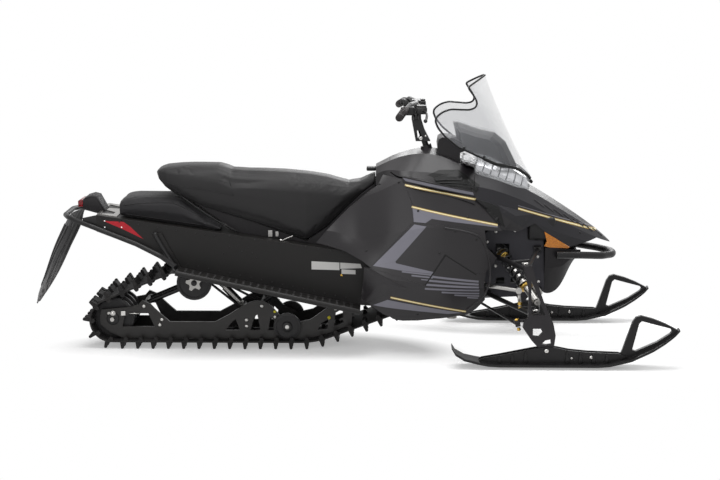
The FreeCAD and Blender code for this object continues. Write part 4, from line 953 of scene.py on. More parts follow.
SEAT_STATIONS = [
    (-0.918, 0.852, 0.834, 0.083), (-0.906, 0.862, 0.806, 0.110), (-0.874, 0.872, 0.770, 0.132),
    (-0.800, 0.876, 0.728, 0.146), (-0.700, 0.877, 0.676, 0.150), (-0.620, 0.876, 0.650, 0.150),
    (-0.588, 0.867, 0.640, 0.150), (-0.556, 0.855, 0.630, 0.150), (-0.480, 0.850, 0.607, 0.150),
    (-0.400, 0.849, 0.583, 0.150), (-0.300, 0.845, 0.550, 0.149), (-0.200, 0.836, 0.518, 0.146),
    (-0.150, 0.829, 0.550, 0.139), (-0.100, 0.820, 0.586, 0.132), (-0.050, 0.805, 0.635, 0.125),
    (0.000, 0.792, 0.685, 0.118), (0.060, 0.800, 0.741, 0.105), (0.100, 0.820, 0.768, 0.100),
    (0.128, 0.837, 0.792, 0.096),
]
SEAT_SIDE = [(0.93, 0.0), (0.99, 0.08), (1.0, 0.30), (0.985, 0.55), (0.95, 0.74), (0.86, 0.88), (0.70, 0.955),
             (0.48, 0.985), (0.24, 0.997), (0.0, 1.0)]
BAG_STATIONS = [
    (-1.082, 0.636, 0.674), (-1.090, 0.637, 0.694), (-1.086, 0.637, 0.712), (-1.070, 0.635, 0.723),
    (-1.035, 0.630, 0.730), (-0.960, 0.619, 0.730), (-0.860, 0.605, 0.730), (-0.805, 0.597, 0.722),
    (-0.720, 0.585, 0.668), (-0.640, 0.573, 0.614), (-0.603, 0.568, 0.592),
]
BAG_SIDE = [(0.98, 0.0), (1.0, 0.12), (1.0, 0.40), (0.96, 0.66), (0.88, 0.84), (0.74, 0.94), (0.45, 0.99),
            (0.0, 1.0)]
SEAT_SEAMS = [
    [(-905, 822), (-860, 796), (-814, 782), (-740, 770), (-670, 760), (-574, 744), (-545, 736)],
    [(-545, 736), (-556, 780), (-572, 832)],
    [(-690, 690), (-610, 664), (-517, 636), (-420, 606), (-333, 578), (-215, 548)],
]
BAG_SEAMS = [
    [(-1060, 690), (-1000, 698), (-900, 702), (-830, 700), (-760, 668), (-690, 628)],
    [(-1060, 648), (-980, 637), (-880, 623), (-780, 608), (-700, 597)],
]
GRID = 0.006
PRESSURE = 2.0
STEPS = 20


def cushion_ring(along, low, top, half, side, inset):
    """One cross-section of a cushion: flat base, sides that lean in, crowned top."""
    half -= inset
    top -= inset
    low += inset * 0.4
    right = [(along, -half * out, low + (top - low) * up) for out, up in side]
    left = [(x, -y, z) for x, y, z in right[-2::-1]]
    base = [(along, half * share, low) for share in (0.6, 0.2, -0.2, -0.6)]
    return right + left + base


def puffed(mesh, name, most):
    """Blows a closed mesh up a little, as foam under a tight cover, and caps how far it moves."""
    holder = held(mesh, name + "_form")
    grid = holder.modifiers.new("Grid", "REMESH")
    grid.mode = "VOXEL"
    grid.voxel_size = GRID
    grid.use_smooth_shade = True
    even = flattened(holder)
    holder = held(even, name + "_cloth")
    rest = [vertex.co.copy() for vertex in even.vertices]
    cloth = holder.modifiers.new("Cloth", "CLOTH")
    cloth.settings.effector_weights.gravity = 0.0
    for label, value in (("quality", 4), ("use_pressure", True), ("uniform_pressure_force", PRESSURE),
                         ("tension_stiffness", 40), ("compression_stiffness", 40), ("shear_stiffness", 20),
                         ("bending_stiffness", 2)):
        setattr(cloth.settings, label, value)
    cloth.point_cache.frame_start = 1
    cloth.point_cache.frame_end = STEPS
    scene = bpy.context.scene
    for number in range(1, STEPS + 1):
        scene.frame_set(number)
    swollen = flattened(holder)
    scene.frame_set(1)
    for vertex, start in zip(swollen.vertices, rest):
        step = vertex.co - start
        if step.length > most:
            vertex.co = start + step * (most / step.length)
    holder = held(swollen, name + "_fine")
    fine = holder.modifiers.new("Fine", "SUBSURF")
    fine.levels = fine.render_levels = 1
    return flattened(holder)


def seams_of(surface, lines, radius):
    """Sewn seams on both sides of a soft piece, along lines of (X, Z) places in millimetres."""
    shapes = []
    for line in lines:
        corners = [(x, 0, z) for x, z in metres(line)]
        for side in SIDES:
            path = [laid(surface, spot.x, spot.z, side, 0.0006) for spot in dotted(corners, 0.02)]
            shapes.append(tube("seam", path, radius))
    return shapes


def stitch_lines(surface, lines):
    """Lines of stitches just over the seams, all of the right side and then all of the left."""
    paths = []
    for side in SIDES:
        for line in lines:
            places = dotted([(x, 0, z) for x, z in metres(line)], sizes().stitch_pitch)
            paths.append([laid(surface, spot.x, spot.z + 0.006, side, 0.0002) for spot in places])
    return paths


class SNOWMOBILE_OT_seat(bpy.types.Operator):
    """Sews the seat cushion: foam under a tight cover, with its bolster seams and stitches"""

    bl_idname = "snowmobile.seat"
    bl_label = "Seat"

    def execute(self, context):
        swell = sizes().seat_swell
        rings = [cushion_ring(along, low, top, half, SEAT_SIDE, swell)
                 for along, top, low, half in SEAT_STATIONS]
        mesh = puffed(mesh_of(skin_of(rings), "seat_form"), "seat", swell)
        mesh.shade_smooth()
        surface = surface_of(mesh)
        shapes = seams_of(surface, SEAT_SEAMS, 0.0017)
        paths = stitch_lines(surface, SEAT_SEAMS)
        seat = pushed(mesh, "seat_cushion", "seat_vinyl")
        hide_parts("seat")
        assembled("seat_seams", shapes, "seat_vinyl", finish="seam_thread")
        for i, path in enumerate(paths):
            made = sewn(f"seat_stitches_{i}", path, sizes().stitch_pitch, finish_of("seam_thread"))
            pushed(made, f"seat_stitches_{i}", "seat_vinyl", finish="seam_thread")
        return {"FINISHED"}


class SNOWMOBILE_OT_bag(bpy.types.Operator):
    """Sews the storage bag behind the seat, with its piping"""

    bl_idname = "snowmobile.bag"
    bl_label = "Storage bag"

    def execute(self, context):
        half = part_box("storage_bag")[1].y - 0.002
        swell = 0.006
        rings = [cushion_ring(along, low, max(top, low + swell), half, BAG_SIDE, swell)
                 for along, low, top in BAG_STATIONS]
        mesh = puffed(mesh_of(skin_of(rings), "bag_form"), "bag", swell)
        mesh.shade_smooth()
        shapes = seams_of(surface_of(mesh), BAG_SEAMS, 0.0026)
        bag = pushed(mesh, "storage_bag_cover", "bag_fabric")
        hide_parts("storage_bag")
        assembled("bag_piping", shapes, "bag_fabric", finish="seam_thread")
        return {"FINISHED"}


# Track

TRACK_CIRCLES = [(-1.130, 0.139, 0.099), (-0.735, 0.318, 0.084), (0.176, 0.256, 0.088),
                 (-0.230, 0.444, 0.404)]
TRACK_HALF = 0.1905
BELT = 0.008


def track_loop(grow, step):
    """Points round the belt, over the top and forward, at a distance outside the wheels."""
    leaves = []
    for first, last in zip(TRACK_CIRCLES, TRACK_CIRCLES[1:] + TRACK_CIRCLES[:1]):
        run = (last[0] - first[0], last[1] - first[1])
        lean = math.asin((last[2] - first[2]) / math.hypot(*run))
        leaves.append(math.atan2(run[1], run[0]) + math.pi / 2 + lean)
    spots = []
    for i, (along, up, radius) in enumerate(TRACK_CIRCLES):
        reach = radius + grow
        sweep = (leaves[i - 1] - leaves[i]) % (2 * math.pi)
        count = max(int(sweep * reach / step), 4)
        arc = [leaves[i - 1] - sweep * j / count for j in range(count + 1)]
        spots += [Vector((along + reach * math.cos(a), 0, up + reach * math.sin(a))) for a in arc]
        after = TRACK_CIRCLES[(i + 1) % len(TRACK_CIRCLES)]
        reach = after[2] + grow
        ahead = Vector((after[0] + reach * math.cos(leaves[i]), 0, after[1] + reach * math.sin(leaves[i])))
        count = max(int((ahead - spots[-1]).length / step), 2)
        spots += [spots[-1].lerp(ahead, j / count) for j in range(1, count)]
    return spots


BAND_EDGE = TRACK_HALF - 0.004
OUTER_LUGS = (("row_one", [(-BAND_EDGE, -0.106), (-0.045, 0.045), (0.106, BAND_EDGE)]),
              ("row_two", [(-BAND_EDGE, -0.150), (-0.125, -0.038), (0.038, 0.125), (0.150, BAND_EDGE)]))
DRIVE_LUGS = [(-0.188, -0.175), (-0.100, -0.073), (0.073, 0.100), (0.175, 0.188)]
LUG_PARTS = ((-0.5, -0.26), (-0.26, 0.26), (0.26, 0.5))
LOOP_STEP = 0.012


def row_mesh(name, bands, height, base, tip, notch=0.2):
    """A row of lugs, one in each band across: long ends, a lower middle, X along the belt."""
    shapes = []
    for left, right in bands:
        middle, width = (left + right) / 2, right - left
        for low, high in LUG_PARTS:
            rise = height * (1 - notch) if low == LUG_PARTS[1][0] else height
            outline = [(-base / 2, -0.001), (base / 2, -0.001), (tip / 2, rise * 0.9), (tip / 4, rise),
                       (-tip / 4, rise), (-tip / 2, rise * 0.9)]
            shapes.append(slab(outline, middle + low * width, middle + high * width))
    return joined(shapes, name, False)


def lug_rows(name, loop, first, second, turned_in, finish):
    """Rows of lugs round the loop: one kind on even rows, the other on odd ones."""
    pattern = Pattern(name + "_pattern", ["Rows", "Piece", "Second piece", "Finish"])
    loop = loop[2:] + loop[:2]
    path = pattern.node("GeometryNodeMeshToCurve", sockets={0: pattern.given("Geometry")})
    even = pattern.node("GeometryNodeResampleCurve", sockets={"Curve": path, "Count": pattern.given("Rows")})
    along = pattern.node("GeometryNodeInputTangent")
    ahead = {"axis": "X", "pivot_axis": "Y"}
    turn = pattern.node("FunctionNodeAlignRotationToVector", ahead, {"Vector": along})
    if turned_in:
        turn = pattern.node("FunctionNodeRotateRotation", {"rotation_space": "LOCAL"},
                            {"Rotation": turn, "Rotate By": (math.pi, 0, 0)})
    odd = pattern.node("GeometryNodeInputIndex") % 2
    one = pattern.copies(even, "Piece", turn, chosen=odd < 0.5)
    two = pattern.copies(even, "Second piece", turn, chosen=odd > 0.5)
    pattern.end(pattern.node("GeometryNodeJoinGeometry", sockets={0: [one, two]}))
    base = bpy.data.meshes.new(name)
    base.from_pydata(loop, [(i, (i + 1) % len(loop)) for i in range(len(loop))], [])
    return pattern.made(base, name, {"Rows": sizes().lug_rows, "Piece": held(first, "row_one"),
                                     "Second piece": held(second, "row_two"), "Finish": finish})


class SNOWMOBILE_OT_track(bpy.types.Operator):
    """Lays the belt and its rows of cupped lugs round the wheels"""

    bl_idname = "snowmobile.track"
    bl_label = "Track"

    def execute(self, context):
        outer, inner = track_loop(BELT, LOOP_STEP), track_loop(0.0, LOOP_STEP)
        rings = [[(out.x, -TRACK_HALF, out.z), (out.x, TRACK_HALF, out.z), (low.x, TRACK_HALF, low.z),
                  (low.x, -TRACK_HALF, low.z)] for out, low in zip(outer, inner)]
        belt = skin_of(rings + rings[:1], caps=False)
        bmesh.ops.remove_doubles(belt, verts=belt.verts, dist=1e-6)
        bmesh.ops.recalc_face_normals(belt, faces=belt.faces)
        height = sizes().lug_height
        rows = [row_mesh(name, bands, height, 0.022, 0.013) for name, bands in OUTER_LUGS]
        finish = finish_of("track_rubber")
        outside = lug_rows("track_lugs", outer, *rows, False, finish)
        start = len(inner) // 3
        drive = [row_mesh(name, DRIVE_LUGS, 0.017, 0.026, 0.014, 0.0) for name in ("drive_one", "drive_two")]
        inside = lug_rows("drive_lugs", inner[start:] + inner[:start], *drive, True, finish)
        shape = bmesh.new()
        for mesh in (mesh_of(belt, "belt"), outside, inside):
            shape.from_mesh(mesh)
        track = pushed(mesh_of(shape, "track_loop", False), "track_loop", "track_rubber")
        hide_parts("track")
        return {"FINISHED"}


# Wheels, bolts and small metal pieces

def both(places):
    """Places on the right side, and their twins on the left."""
    twins = []
    for spot, facing, scale in places:
        twins.append((spot, facing, scale))
        twins.append(((spot[0], -spot[1], spot[2]), (facing[0], -facing[1], facing[2]), scale))
    return twins


def on_sides(reach, places, scale):
    """Places in millimetres on both sides of the machine, facing out."""
    return both([((x / 1000, -reach, z / 1000), RIGHT, scale) for x, z in places])


class SNOWMOBILE_OT_wheels(bpy.types.Operator):
    """Star hubs, bearing caps and axle nuts of the track wheels"""

    bl_idname = "snowmobile.wheels"
    bl_label = "Wheel hubs"

    def execute(self, context):
        faceted("carrier_stars", mirrored([star((-0.735, -0.1665, 0.318), RIGHT, 0.040, 0.026, 5, 0.005)]),
                "damper_silver")
        caps = [cap((-0.735, -0.168, 0.318), RIGHT, 0.014, 0.007, 0.011, 20),
                cap((-0.292, -0.166, 0.106), RIGHT, 0.024, 0.004, 0.020, 24),
                cap((-1.130, -0.142, 0.139), RIGHT, 0.030, 0.004, 0.026, 24)]
        assembled("bearing_caps", mirrored(caps), "wheel_black", finish="frame_black")
        nuts = [((-0.292, -0.172, 0.106), RIGHT, 0.009), ((-1.130, -0.148, 0.165), RIGHT, 0.013)]
        fastened("wheel_nuts", hex_bolt(), both(nuts), "bright_bolt")
        return {"FINISHED"}


RAIL_BOLTS = [(-980, 200), (-895, 135), (-905, 108), (-488, 134), (-488, 104), (-414, 203), (-350, 150),
              (-1150, 165), (-60, 190), (-40, 190)]
TUNNEL_RIVETS = [(-560, 500), (-520, 505), (-500, 480), (-470, 500), (-452, 470), (-590, 468), (-430, 450)]
RIVET_LINES = ((-1170, -620, 45, 632, -1180, 0.144), (-760, 30, 50, 420, -780, 0.212),
               (-560, 100, 60, 552, -560, 0.143))
DRIVE_MIDDLE = (176, 256)
DRIVE_BOLTS = (0.3, 2.3, 4.4)


class SNOWMOBILE_OT_fasteners(bpy.types.Operator):
    """Bolts, caps and rivets of the rails and the tunnel, axle adjusters and the bumper's struts"""

    bl_idname = "snowmobile.fasteners"
    bl_label = "Bolts and rivets"

    def execute(self, context):
        fastened("rail_bolts", dome_bolt(), on_sides(0.1435, RAIL_BOLTS, 0.0085), "bright_bolt")
        blocks = [block((-1.080, -0.146, 0.165), (0.022, 0.006, 0.022), 0.002),
                  lathe((-1.052, -0.1475, 0.165), (1, 0, 0), [(0, 0.003), (0.05, 0.003)], 10)]
        assembled("axle_adjusters", mirrored(blocks), "steel", finish="bright_bolt")
        caps = [cap((-0.352, -0.1435, 0.176), RIGHT, 0.007, 0.005, 0.005, 16, 0.001),
                cap((-0.092, -0.1435, 0.148), RIGHT, 0.008, 0.005, 0.006, 16, 0.001)]
        assembled("rail_caps", mirrored(caps), "steel", finish="yellow_cap")
        struts = [tube("strut", [(-0.914, -0.2235, 0.568), (-0.900, -0.2250, 0.540), (-0.838, -0.2290, 0.432),
                                 (-0.818, -0.250, 0.411), (-0.795, -0.345, 0.401)], 0.0105)]
        assembled("kick_up_struts", mirrored(struts), "frame_black")
        rivets = [(x, up - (x - start) * fall) for first, last, step, up, start, fall in RIVET_LINES
                  for x in range(first, last, step)]
        rivets += TUNNEL_RIVETS
        fastened("tunnel_rivets", dome_bolt(), on_sides(0.2102, rivets, 0.0036), "frame_black")
        along, up = DRIVE_MIDDLE
        drive = [(along + 40 * math.cos(angle), up + 40 * math.sin(angle)) for angle in DRIVE_BOLTS]
        fastened("drive_bolts", hex_bolt(), on_sides(0.2102, drive + [(-30, 365)], 0.006), "brass")
        return {"FINISHED"}


def cup():
    """A raised toothed ring of the running board, about the origin, facing up."""
    rings = []
    for radius, rise in ((0.0080, 0.0), (0.0062, 0.0022), (0.0048, 0.0020), (0.0050, 0.0002)):
        ring = []
        for i in range(10):
            angle = 2 * math.pi * i / 10
            lift = rise * (0.7 if i % 2 and rise > 0.001 else 1.0)
            ring.append((radius * math.cos(angle), radius * math.sin(angle), lift))
        rings.append(ring)
    return skin_of(rings, caps=False)


class SNOWMOBILE_OT_running_boards(bpy.types.Operator):
    """Toothed rings over the running boards"""

    bl_idname = "snowmobile.running_boards"
    bl_label = "Running boards"

    def execute(self, context):
        pattern = Pattern("board_pattern", ["Length", "Width", "Rows", "Columns", "Piece", "Finish"])
        grid = pattern.node("GeometryNodeMeshGrid", sockets={
            "Size X": pattern.given("Length"), "Size Y": pattern.given("Width"),
            "Vertices X": pattern.given("Columns"), "Vertices Y": pattern.given("Rows")})
        pattern.end(pattern.copies(grid, "Piece", (0.0, 0.0, 0.0)))
        lean = math.atan2(403 - 222, 860)
        for side, name in NAMED_SIDES:
            board = surface_of(frame["nodes"][f"running_board_{name}"].data)
            spot = board.ray_cast(Vector((-0.372, side * 0.286, 1)), Vector((0, 0, -1)))[0]
            made = pattern.made(bpy.data.meshes.new("board"), "board_cups", {
                "Length": 0.80, "Width": 0.104, "Rows": 4, "Columns": 24,
                "Piece": held(mesh_of(cup(), "cup", False), "cup"), "Finish": finish_of("frame_black")})
            made.transform(Matrix.Translation(spot) @ Matrix.Rotation(lean, 4, "Y"))
            pushed(made, f"board_cups_{name}", "tunnel_black", finish="frame_black")
        return {"FINISHED"}


# Rear end

FLAP_BACK = [(0.630, -1.341), (0.600, -1.362), (0.517, -1.403), (0.446, -1.433), (0.386, -1.454),
             (0.320, -1.477), (0.275, -1.496), (0.229, -1.512), (0.190, -1.522)]
FLAP_HOLLOW = 0.30
HOUSING = [(-1289, 662), (-1289, 694), (-1266, 712), (-1232, 721), (-1208, 716), (-1176, 664), (-1168, 648),
           (-1240, 650)]
REAR_LENS = [(-1299, 668), (-1300, 697), (-1284, 706), (-1276, 702), (-1276, 668)]
TAIL_FIN = [(-1272, 705), (-1262, 717), (-1231, 726), (-1205, 720), (-1172, 660), (-1166, 648), (-1176, 650),
            (-1210, 712), (-1232, 716), (-1262, 706)]
GUSSET = [(-1254, 636), (-1186, 650), (-1186, 590), (-1254, 610)]


def flap_back(up):
    """Where the middle line of the flap's rear face is, at a height."""
    for (high, far), (low, near) in zip(FLAP_BACK, FLAP_BACK[1:]):
        if up >= low:
            return far + (near - far) * (high - up) / (high - low)
    return FLAP_BACK[-1][1]


class SNOWMOBILE_OT_tail(bpy.types.Operator):
    """Rear lamp with its finned housing, gussets, the ribbed snow flap and the bumper's bolts"""

    bl_idname = "snowmobile.tail"
    bl_label = "Tail"

    def execute(self, context):
        housing = slab(metres(HOUSING), -0.060, 0.060, 0.003)
        body = pushed(mesh_of(housing, "lamp_housing"), "lamp_housing", "panel_plastic")
        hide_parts("tail_housing")
        lens = slab(metres(REAR_LENS), -0.0625, 0.0625, 0.003)
        lamp = pushed(mesh_of(lens, "lamp_lens"), "rear_lens", "lens_red")
        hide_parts("tail_lamp")
        fin = slab(metres(TAIL_FIN), -0.002, 0.002, 0.0006)
        places = [((0, y / 1000, 0), Matrix.Identity(3), 1.0) for y in range(-58, 59, 11)]
        fastened("tail_fins", fin, places, "tail_fin", "panel_plastic")
        gussets = mirrored([slab(metres(GUSSET), -0.2095, -0.2050, 0.001)])
        assembled("tail_gussets", gussets, "tunnel_black", finish="frame_black")
        even = welded("snow_flap")
        for spot in even.verts:
            spot.co.x += (flap_back(spot.co.z) - spot.co.x) * FLAP_HOLLOW
        cover = pushed(mesh_of(even, "flap_sheet"), "flap_sheet", "flap_rubber")
        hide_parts("snow_flap")
        flap = surface_of(cover.data)
        ribs = []
        for y in (-0.13, -0.09, -0.05, 0.05, 0.09, 0.13):
            path = []
            for i in range(9):
                up = 0.585 - i * (0.26 if abs(y) > 0.1 else 0.30) / 8
                hit = flap.ray_cast(Vector((-2.0, y * (1 - i * 0.03), up)), Vector((1, 0, 0)))[0]
                if hit is not None:
                    path.append(hit + Vector((-0.0005, 0, 0)))
            ribs.append(tube("flap_rib", path, 0.0032))
        assembled("flap_ribs", ribs, "flap_rubber", finish="frame_black")
        clips = on_sides(0.222, [(-1200, 596), (-1020, 525), (-960, 497)], 0.006)
        fastened("bumper_bolts", dome_bolt(), clips, "bright_bolt")
        return {"FINISHED"}


class SNOWMOBILE_OT_straps(bpy.types.Operator):
    """Tags and latch under the cushion, and the bag's straps"""

    bl_idname = "snowmobile.straps"
    bl_label = "Seat latch and straps"

    def execute(self, context):
        tags = [block((-0.372, -0.1285, 0.552), (0.020, 0.004, 0.032), 0.0015),
                block((-0.340, -0.1285, 0.550), (0.014, 0.004, 0.024), 0.0015)]
        assembled("seat_tags", mirrored(tags), "panel_plastic", finish="label_plate")
        drum = [(-0.014, 0.007), (-0.010, 0.010), (0.010, 0.010), (0.014, 0.007)]
        wire = [(-0.352, -0.150, 0.503), (-0.325, -0.152, 0.517), (-0.290, -0.150, 0.534),
                (-0.262, -0.150, 0.545)]
        latch = [lathe((-0.325, -0.150, 0.517), (0.9, 0, 0.42), drum, 18), tube("latch_wire", wire, 0.0022)]
        assembled("seat_latch", mirrored(latch), "steel", finish="bright_bolt")
        straps = [tube("bag_strap", [(-0.800, side * 0.1300, 0.734), (-0.700, side * 0.1500, 0.664),
                                     (-0.600, side * 0.1560, 0.602), (-0.520, side * 0.1500, 0.560)], 0.0042)
                  for side in SIDES]
        assembled("bag_straps", straps, "bag_fabric", finish="seam_thread")
        return {"FINISHED"}


# Front end

SCREEN_EDGE = [(868, 809), (850, 828), (830, 844), (810, 857), (790, 867), (740, 878), (700, 886),
               (640, 913), (562, 949), (516, 969), (453, 1018), (421, 1058), (409, 1087), (413, 1107),
               (443, 1132), (481, 1144), (570, 1140), (600, 1149), (610, 1172), (594, 1203), (568, 1237),
               (569, 1247), (645, 1297)]
COWL = [(498, 1078), (513, 1081), (604, 1050), (695, 1030), (748, 985), (806, 868), (773, 880), (662, 915),
        (581, 930), (520, 980)]
COWL_MIDDLE = (600, 930)
SCREEN_FOOT = [(822, 838), (860, 812), (884, 792), (876, 781), (852, 796), (820, 822)]
SCREEN_SCREWS = ((545, 966), (640, 924), (735, 880))
TRIM_STEP = 0.022


def widened(spot):
    """Where a point of the frame's screen lies on the wider, slightly hollow one."""
    rise = min(max((spot.z - 0.86) / 0.18, 0), 1)
    across = spot.y * (1.06 + 0.36 * rise * rise * (3 - 2 * rise))
    bow = 0.013 * math.sin(math.pi * min(max((spot.z - 0.8) / 0.5, 0), 1)) * max(1 - abs(spot.y) / 0.15, 0)
    up = spot.z + (abs(across) - abs(spot.y)) * 0.157
    return Vector((spot.x - bow, across, min(up, SCREEN_TOP)))


class SNOWMOBILE_OT_windshield(bpy.types.Operator):
    """Wider clear screen with its rubber edging, foot and screws, and the dark cowl under it"""

    bl_idname = "snowmobile.windshield"
    bl_label = "Windshield trim"

    def execute(self, context):
        sheet = surface_of(frame["nodes"]["windshield"].data)
        wide = welded("windshield")
        for spot in wide.verts:
            spot.co = widened(spot.co)
        screen = pushed(mesh_of(wide, "wide_screen"), "wide_screen", "screen_clear")
        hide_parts("windshield")
        cowl = []
        for share in (-1, -0.82, -0.4, 0, 0.4, 0.82, 1):
            small = 1 - 0.30 * abs(share) ** 3
            x0, z0 = COWL_MIDDLE
            cowl.append([((x0 + (x - x0) * small) / 1000, share * 0.112, (z0 + (z - z0) * small) / 1000)
                         for x, z in COWL])
        pushed(mesh_of(skin_of(cowl), "dash_cowl", False), "dash_cowl", "panel_plastic", finish="frame_black")
        corners = [(x, 0, z) for x, z in metres(SCREEN_EDGE)]
        right = [laid(sheet, spot.x, spot.z, -1, 0.0016) for spot in dotted(corners, TRIM_STEP)]
        top = []
        for i in range(1, 8):
            hit = sheet.ray_cast(Vector((2, right[-1].y * (1 - i / 4), 1.3005)), Vector((-1, 0, 0)))[0]
            if hit is not None:
                top.append(hit - Vector((0.002, 0, 0)))
        left = [Vector((spot.x, -spot.y, spot.z)) for spot in right[::-1]]
        radius = sizes().screen_trim
        path = [widened(spot) for spot in right + top + left]
        path = [Vector((spot.x, spot.y, min(spot.z, SCREEN_TOP - radius))) for spot in path]
        edging = [tube("screen_edging", path, radius), slab(metres(SCREEN_FOOT), -0.030, 0.030, 0.004)]
        assembled("screen_edging", edging, "screen_clear", finish="screen_rubber")
        foot = [widened(laid(sheet, spot.x, spot.z, -1, 0.001)) for spot in dotted(corners[:8], TRIM_STEP)]
        seals = mirrored([tube("screen_foot", foot, 0.0075)])
        assembled("screen_foot", seals, "screen_clear", finish="screen_rubber")
        screws = [(widened(laid(sheet, x, z, -1)), (0, -1, 0.2), 0.006) for x, z in metres(SCREEN_SCREWS)]
        fastened("screen_screws", dome_bolt(), both(screws), "frame_black", "screen_clear")
        return {"FINISHED"}


LAMP_STATIONS = [(0.604, 0.846, 0.944, 0.172), (0.650, 0.826, 0.935, 0.170), (0.700, 0.800, 0.918, 0.166),
                 (0.780, 0.766, 0.876, 0.150), (0.852, 0.730, 0.822, 0.108)]
LAMP_BARS = (((0.606, 0.950), (0.850, 0.826), 0.0), ((0.690, 0.925), (0.735, 0.840), -0.060))
LAMP_BOWLS = ((0.690, -0.098, 0.858, 0.030), (0.765, -0.080, 0.832, 0.026))


class SNOWMOBILE_OT_headlight(bpy.types.Operator):
    """Stepped chrome reflector, bowls and dark bezel inside the lamp unit"""

    bl_idname = "snowmobile.headlight"
    bl_label = "Headlight"

    def execute(self, context):
        rings = []
        for along, low, top, half in LAMP_STATIONS:
            rise = top - low
            line = [(-half, low), (-half * 0.96, low + rise * 0.45), (-half * 0.6, low + rise * 0.84),
                    (0, top)]
            rings.append([(along, y, z) for y, z in line + [(-y, z) for y, z in line[-2::-1]]])
        shapes = [skin_of(rings)]
        for x, y, z, radius in LAMP_BOWLS:
            profile = [(-0.02, radius * 0.9), (0.004, radius), (0.008, radius * 0.94), (0.0, radius * 0.6),
                       (-0.008, 0.004)]
            shapes += mirrored([lathe((x, y, z), (0.62, -0.52, 0.58), profile, 28)])
        faceted("lamp_reflector", shapes, "lens_clear", finish="lamp_chrome")
        bars = []
        for (x1, z1), (x2, z2), y in LAMP_BARS:
            outline = [(x1, z1 - 0.008), (x1, z1 + 0.002), (x2, z2 + 0.002), (x2, z2 - 0.008)]
            bars.append(slab(outline, y - 0.006, y + 0.006, 0.002))
        assembled("lamp_bezel", [bars[0]] + mirrored([bars[1]]), "panel_plastic", finish="frame_black")
        return {"FINISHED"}


class SNOWMOBILE_OT_steering_head(bpy.types.Operator):
    """Brake reservoir, switches, levers with their ends, stop button, grip rings and the riser's bolts"""

    bl_idname = "snowmobile.steering_head"
    bl_label = "Handlebar fittings"

    def execute(self, context):
        blocks = [((0.286, -0.218, 1.146), (0.050, 0.046, 0.040), 0.008),
                  ((0.262, -0.240, 1.152), (0.030, 0.036, 0.028), 0.007),
                  ((0.345, -0.188, 1.146), (0.052, 0.062, 0.034), 0.008),
                  ((0.345, -0.188, 1.166), (0.046, 0.056, 0.008), 0.003)]
        pivot = [(-0.016, 0.010), (-0.012, 0.013), (0.010, 0.013)]
        ball = [(-0.009, 0.003), (-0.005, 0.008), (0, 0.0095), (0.005, 0.008), (0.009, 0.003)]
        lever = [(0.330, -0.180, 1.150), (0.362, -0.225, 1.144), (0.372, -0.290, 1.130),
                 (0.362, -0.352, 1.112)]
        shapes = [block(*values) for values in blocks]
        shapes += [lathe((0.318, -0.205, 1.118), (0, 0, 1), pivot, 18), tube("lever", lever, 0.0058),
                   lathe((0.361, -0.357, 1.111), (-0.1, -1, -0.3), ball, 14)]
        made = assembled("bar_controls", mirrored(shapes), "panel_plastic", "steering", "frame_black")
        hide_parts("controls")
        stop = cap((0.262, -0.258, 1.156), (-0.2, -1, 0.2), 0.009, 0.007, 0.006, 24, 0.003)
        pushed(mesh_of(stop, "stop_button"), "stop_button", "panel_plastic", "steering", "red_cap")
        low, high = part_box("grips")
        start, end = Vector((low.x + 0.019, -high.y + 0.006, low.z + 0.019)), Vector((0.268, -0.262, 1.155))
        run = (end - start).normalized()
        ring = [(-0.0022, 0.0165), (-0.001, 0.0184), (0.001, 0.0184), (0.0022, 0.0165)]
        rings = [lathe(start + run * (0.012 + i * 0.010), run, ring, 20) for i in range(11)]
        rings.append(lathe(start - run * 0.006, run, [(0, 0.012), (0.003, 0.018), (0.010, 0.0185),
                                                      (0.012, 0.0165)], 20))
        assembled("grip_rings", mirrored(rings), "grip_rubber", "steering")
        bolts = [((0.345, -0.0325, 0.998), RIGHT, 0.010), ((0.330, -0.0325, 1.160), RIGHT, 0.008),
                 ((0.368, -0.0325, 1.010), RIGHT, 0.005)]
        fastened("riser_bolts", dome_bolt(), both(bolts), "bright_bolt", body="steering")
        return {"FINISHED"}


KINGPIN_FOOT = (0.872, 0.228)
KINGPIN_TOP = (0.825, 0.445)


